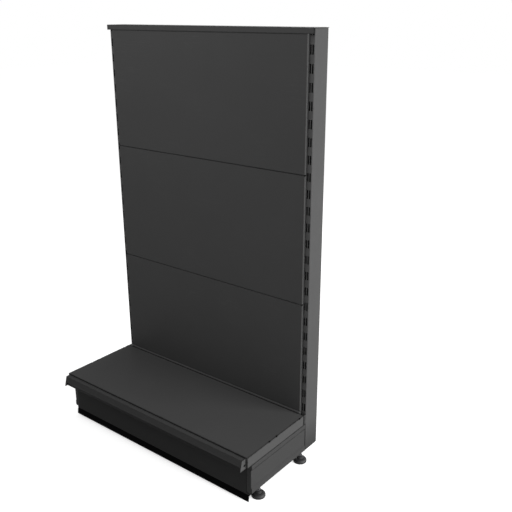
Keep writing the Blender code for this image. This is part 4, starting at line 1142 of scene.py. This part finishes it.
class ENDUNIT_OT_stage(bpy.types.Operator):
    """Set the floor, the light and the camera"""

    bl_idname = "end_unit.stage"
    bl_label = "Stage"

    aim: position("Aim", "Where the lamps point", (0.0, 0.0, 0.7))

    def execute(self, context):
        stage = context.scene.end_unit_stage
        context.scene.view_settings.view_transform = "Standard"
        self.world(context.scene, stage)
        self.floor(context.scene, stage)
        self.lamp(context.scene, "key", stage.key_place, stage.key_size, stage.key_power)
        self.lamp(context.scene, "top", stage.top_place, stage.top_size, stage.top_power)
        self.lamp(context.scene, "back", stage.back_place, stage.back_size, stage.back_power)
        self.camera(context.scene, stage)
        return {"FINISHED"}

    def white_rays(self, tree):
        """One where a camera, mirror or glass looks, nought where light is gathered."""
        path = tree.nodes.new("ShaderNodeLightPath").outputs
        seen = math_node(tree, "MAXIMUM", path["Is Camera Ray"], path["Is Glossy Ray"])
        return math_node(tree, "MAXIMUM", seen, path["Is Transmission Ray"])

    def show(self, tree, lit, shown, output):
        """One shader where light is gathered and another where a camera, mirror or glass looks."""
        sources = {0: self.white_rays(tree), 1: lit.outputs[0], 2: shown.outputs[0]}
        mix = add_node(tree, "ShaderNodeMixShader", sources)
        add_node(tree, output, {"Surface": mix.outputs[0]})

    def world(self, scene, stage):
        """White to look at, and an even fill as light."""
        scene.world = bpy.data.worlds.new("studio")
        scene.world.use_nodes = True
        tree = scene.world.node_tree
        tree.nodes.clear()
        lit = add_node(tree, "ShaderNodeBackground", {"Color": WHITE, "Strength": stage.fill})
        shown = add_node(tree, "ShaderNodeBackground", {"Color": WHITE, "Strength": 1.0})
        self.show(tree, lit, shown, "ShaderNodeOutputWorld")

    def glow(self, tree, stage):
        """How white a place on the floor looks: more with distance, and nought well below the unit, as a
        painted shadow there.
        """
        place = tree.nodes.new("ShaderNodeTexCoord").outputs["Object"]
        x, y, _ = between(tree, place, *CAD_BOX)
        inside = math_node(tree, "MINIMUM", x, y)
        shade = fade(tree, inside, stage.shade_start, stage.shade_end, "SMOOTHSTEP")
        distance = vector_node(tree, "LENGTH", {0: place}, "Value")
        near = fade(tree, distance, stage.far_start, stage.far_end, "SMOOTHSTEP")
        level = math_node(tree, "MULTIPLY_ADD", near, stage.glow_near - stage.glow_far, stage.glow_far)
        return math_node(tree, "MULTIPLY", level, shade)

    def floor(self, scene, stage):
        """A pale plane that keeps the shadow: looked at, it glows nearly white besides its own shading,
        except below the unit, where a painted shadow takes the glow away."""
        half = stage.floor_size / 2
        corners = np.array([[-half, -half, 0], [half, -half, 0], [half, half, 0], [-half, half, 0]])
        mesh = bpy.data.meshes.new("floor")
        mesh.from_pydata(corners, [], [(0, 1, 2, 3)])
        material = bpy.data.materials.new("pale_floor")
        material.use_nodes = True
        tree = material.node_tree
        tree.nodes.clear()
        matt = add_node(tree, "ShaderNodeBsdfDiffuse", {"Color": scaled(stage.floor_colour, 1.0)})
        glow = add_node(tree, "ShaderNodeEmission", {"Color": WHITE, "Strength": self.glow(tree, stage)})
        shown = add_node(tree, "ShaderNodeAddShader", {0: matt.outputs[0], 1: glow.outputs[0]})
        self.show(tree, matt, shown, "ShaderNodeOutputMaterial")
        mesh.materials.append(material)
        floor = bpy.data.objects.new("floor", mesh)
        scene.collection.objects.link(floor)

    def lamp(self, scene, name, place, size, power):
        """A square soft lamp that faces the unit."""
        light = bpy.data.lights.new(name, "AREA")
        light.size = size
        light.energy = power
        lamp = bpy.data.objects.new(name, light)
        turn = (Vector(self.aim) - Vector(place)).to_track_quat("-Z", "Y")
        lamp.matrix_world = Matrix.Translation(place) @ turn.to_matrix().to_4x4()
        scene.collection.objects.link(lamp)

    def camera(self, scene, stage):
        """The camera, turned left by one angle, dipped by another and rolled by a third."""
        data = bpy.data.cameras.new("camera")
        data.sensor_fit = "HORIZONTAL"
        data.sensor_width = SENSOR_WIDTH
        data.lens = stage.focal_pixels / IMAGE_PIXELS * SENSOR_WIDTH
        camera = bpy.data.objects.new("camera", data)
        level = Matrix.Rotation(math.pi / 2, 4, "X")
        turn = Matrix.Rotation(stage.camera_turn, 4, "Z")
        dip = Matrix.Rotation(-stage.camera_dip, 4, "X")
        roll = Matrix.Rotation(-stage.camera_roll, 4, "Z")
        camera.matrix_world = Matrix.Translation(stage.camera_place) @ turn @ level @ dip @ roll
        scene.collection.objects.link(camera)
        scene.camera = camera


class ENDUNIT_PT_panel(bpy.types.Panel):
    """The end unit's pieces and settings"""

    bl_idname = "ENDUNIT_PT_panel"
    bl_label = "End unit"
    bl_space_type = "VIEW_3D"
    bl_region_type = "UI"
    bl_category = "End unit"

    def draw(self, context):
        for operator in OPERATORS:
            self.layout.operator(operator.bl_idname)
        for key, group in SETTINGS.items():
            box = self.layout.box()
            box.label(text=group.__doc__)
            for name in group.__annotations__:
                box.prop(getattr(context.scene, key), name)


SETTINGS = {
    "end_unit_coat": CoatSettings,
    "end_unit_trim": TrimSettings,
    "end_unit_insets": InsetSettings,
    "end_unit_fasteners": FastenerSettings,
    "end_unit_stage": StageSettings,
}
OPERATORS = (
    ENDUNIT_OT_stage, ENDUNIT_OT_uprights, ENDUNIT_OT_back, ENDUNIT_OT_base, ENDUNIT_OT_price_strip,
    ENDUNIT_OT_seal, ENDUNIT_OT_feet, ENDUNIT_OT_bolts, ENDUNIT_OT_plugs, ENDUNIT_OT_welds,
    ENDUNIT_OT_deck_plates, ENDUNIT_OT_tapes, ENDUNIT_OT_clips,
)


def register():
    """Register the settings, the operators and the panel."""
    for key, group in SETTINGS.items():
        bpy.utils.register_class(group)
        setattr(bpy.types.Scene, key, bpy.props.PointerProperty(type=group))
    for operator in (*OPERATORS, ENDUNIT_PT_panel):
        bpy.utils.register_class(operator)


def unregister():
    """Take back what register added."""
    for operator in (ENDUNIT_PT_panel, *reversed(OPERATORS)):
        bpy.utils.unregister_class(operator)
    for key, group in reversed(SETTINGS.items()):
        delattr(bpy.types.Scene, key)
        bpy.utils.unregister_class(group)


def main():
    """Make the stage and every piece."""
    register()
    bpy.ops.end_unit.stage()
    bpy.ops.end_unit.uprights()
    bpy.ops.end_unit.back()
    bpy.ops.end_unit.base()
    bpy.ops.end_unit.price_strip()
    bpy.ops.end_unit.seal()
    bpy.ops.end_unit.feet()
    bpy.ops.end_unit.bolts()
    bpy.ops.end_unit.plugs()
    bpy.ops.end_unit.welds()
    bpy.ops.end_unit.deck_plates()
    bpy.ops.end_unit.tapes()
    bpy.ops.end_unit.clips()


if __name__ == "__main__":
    main()
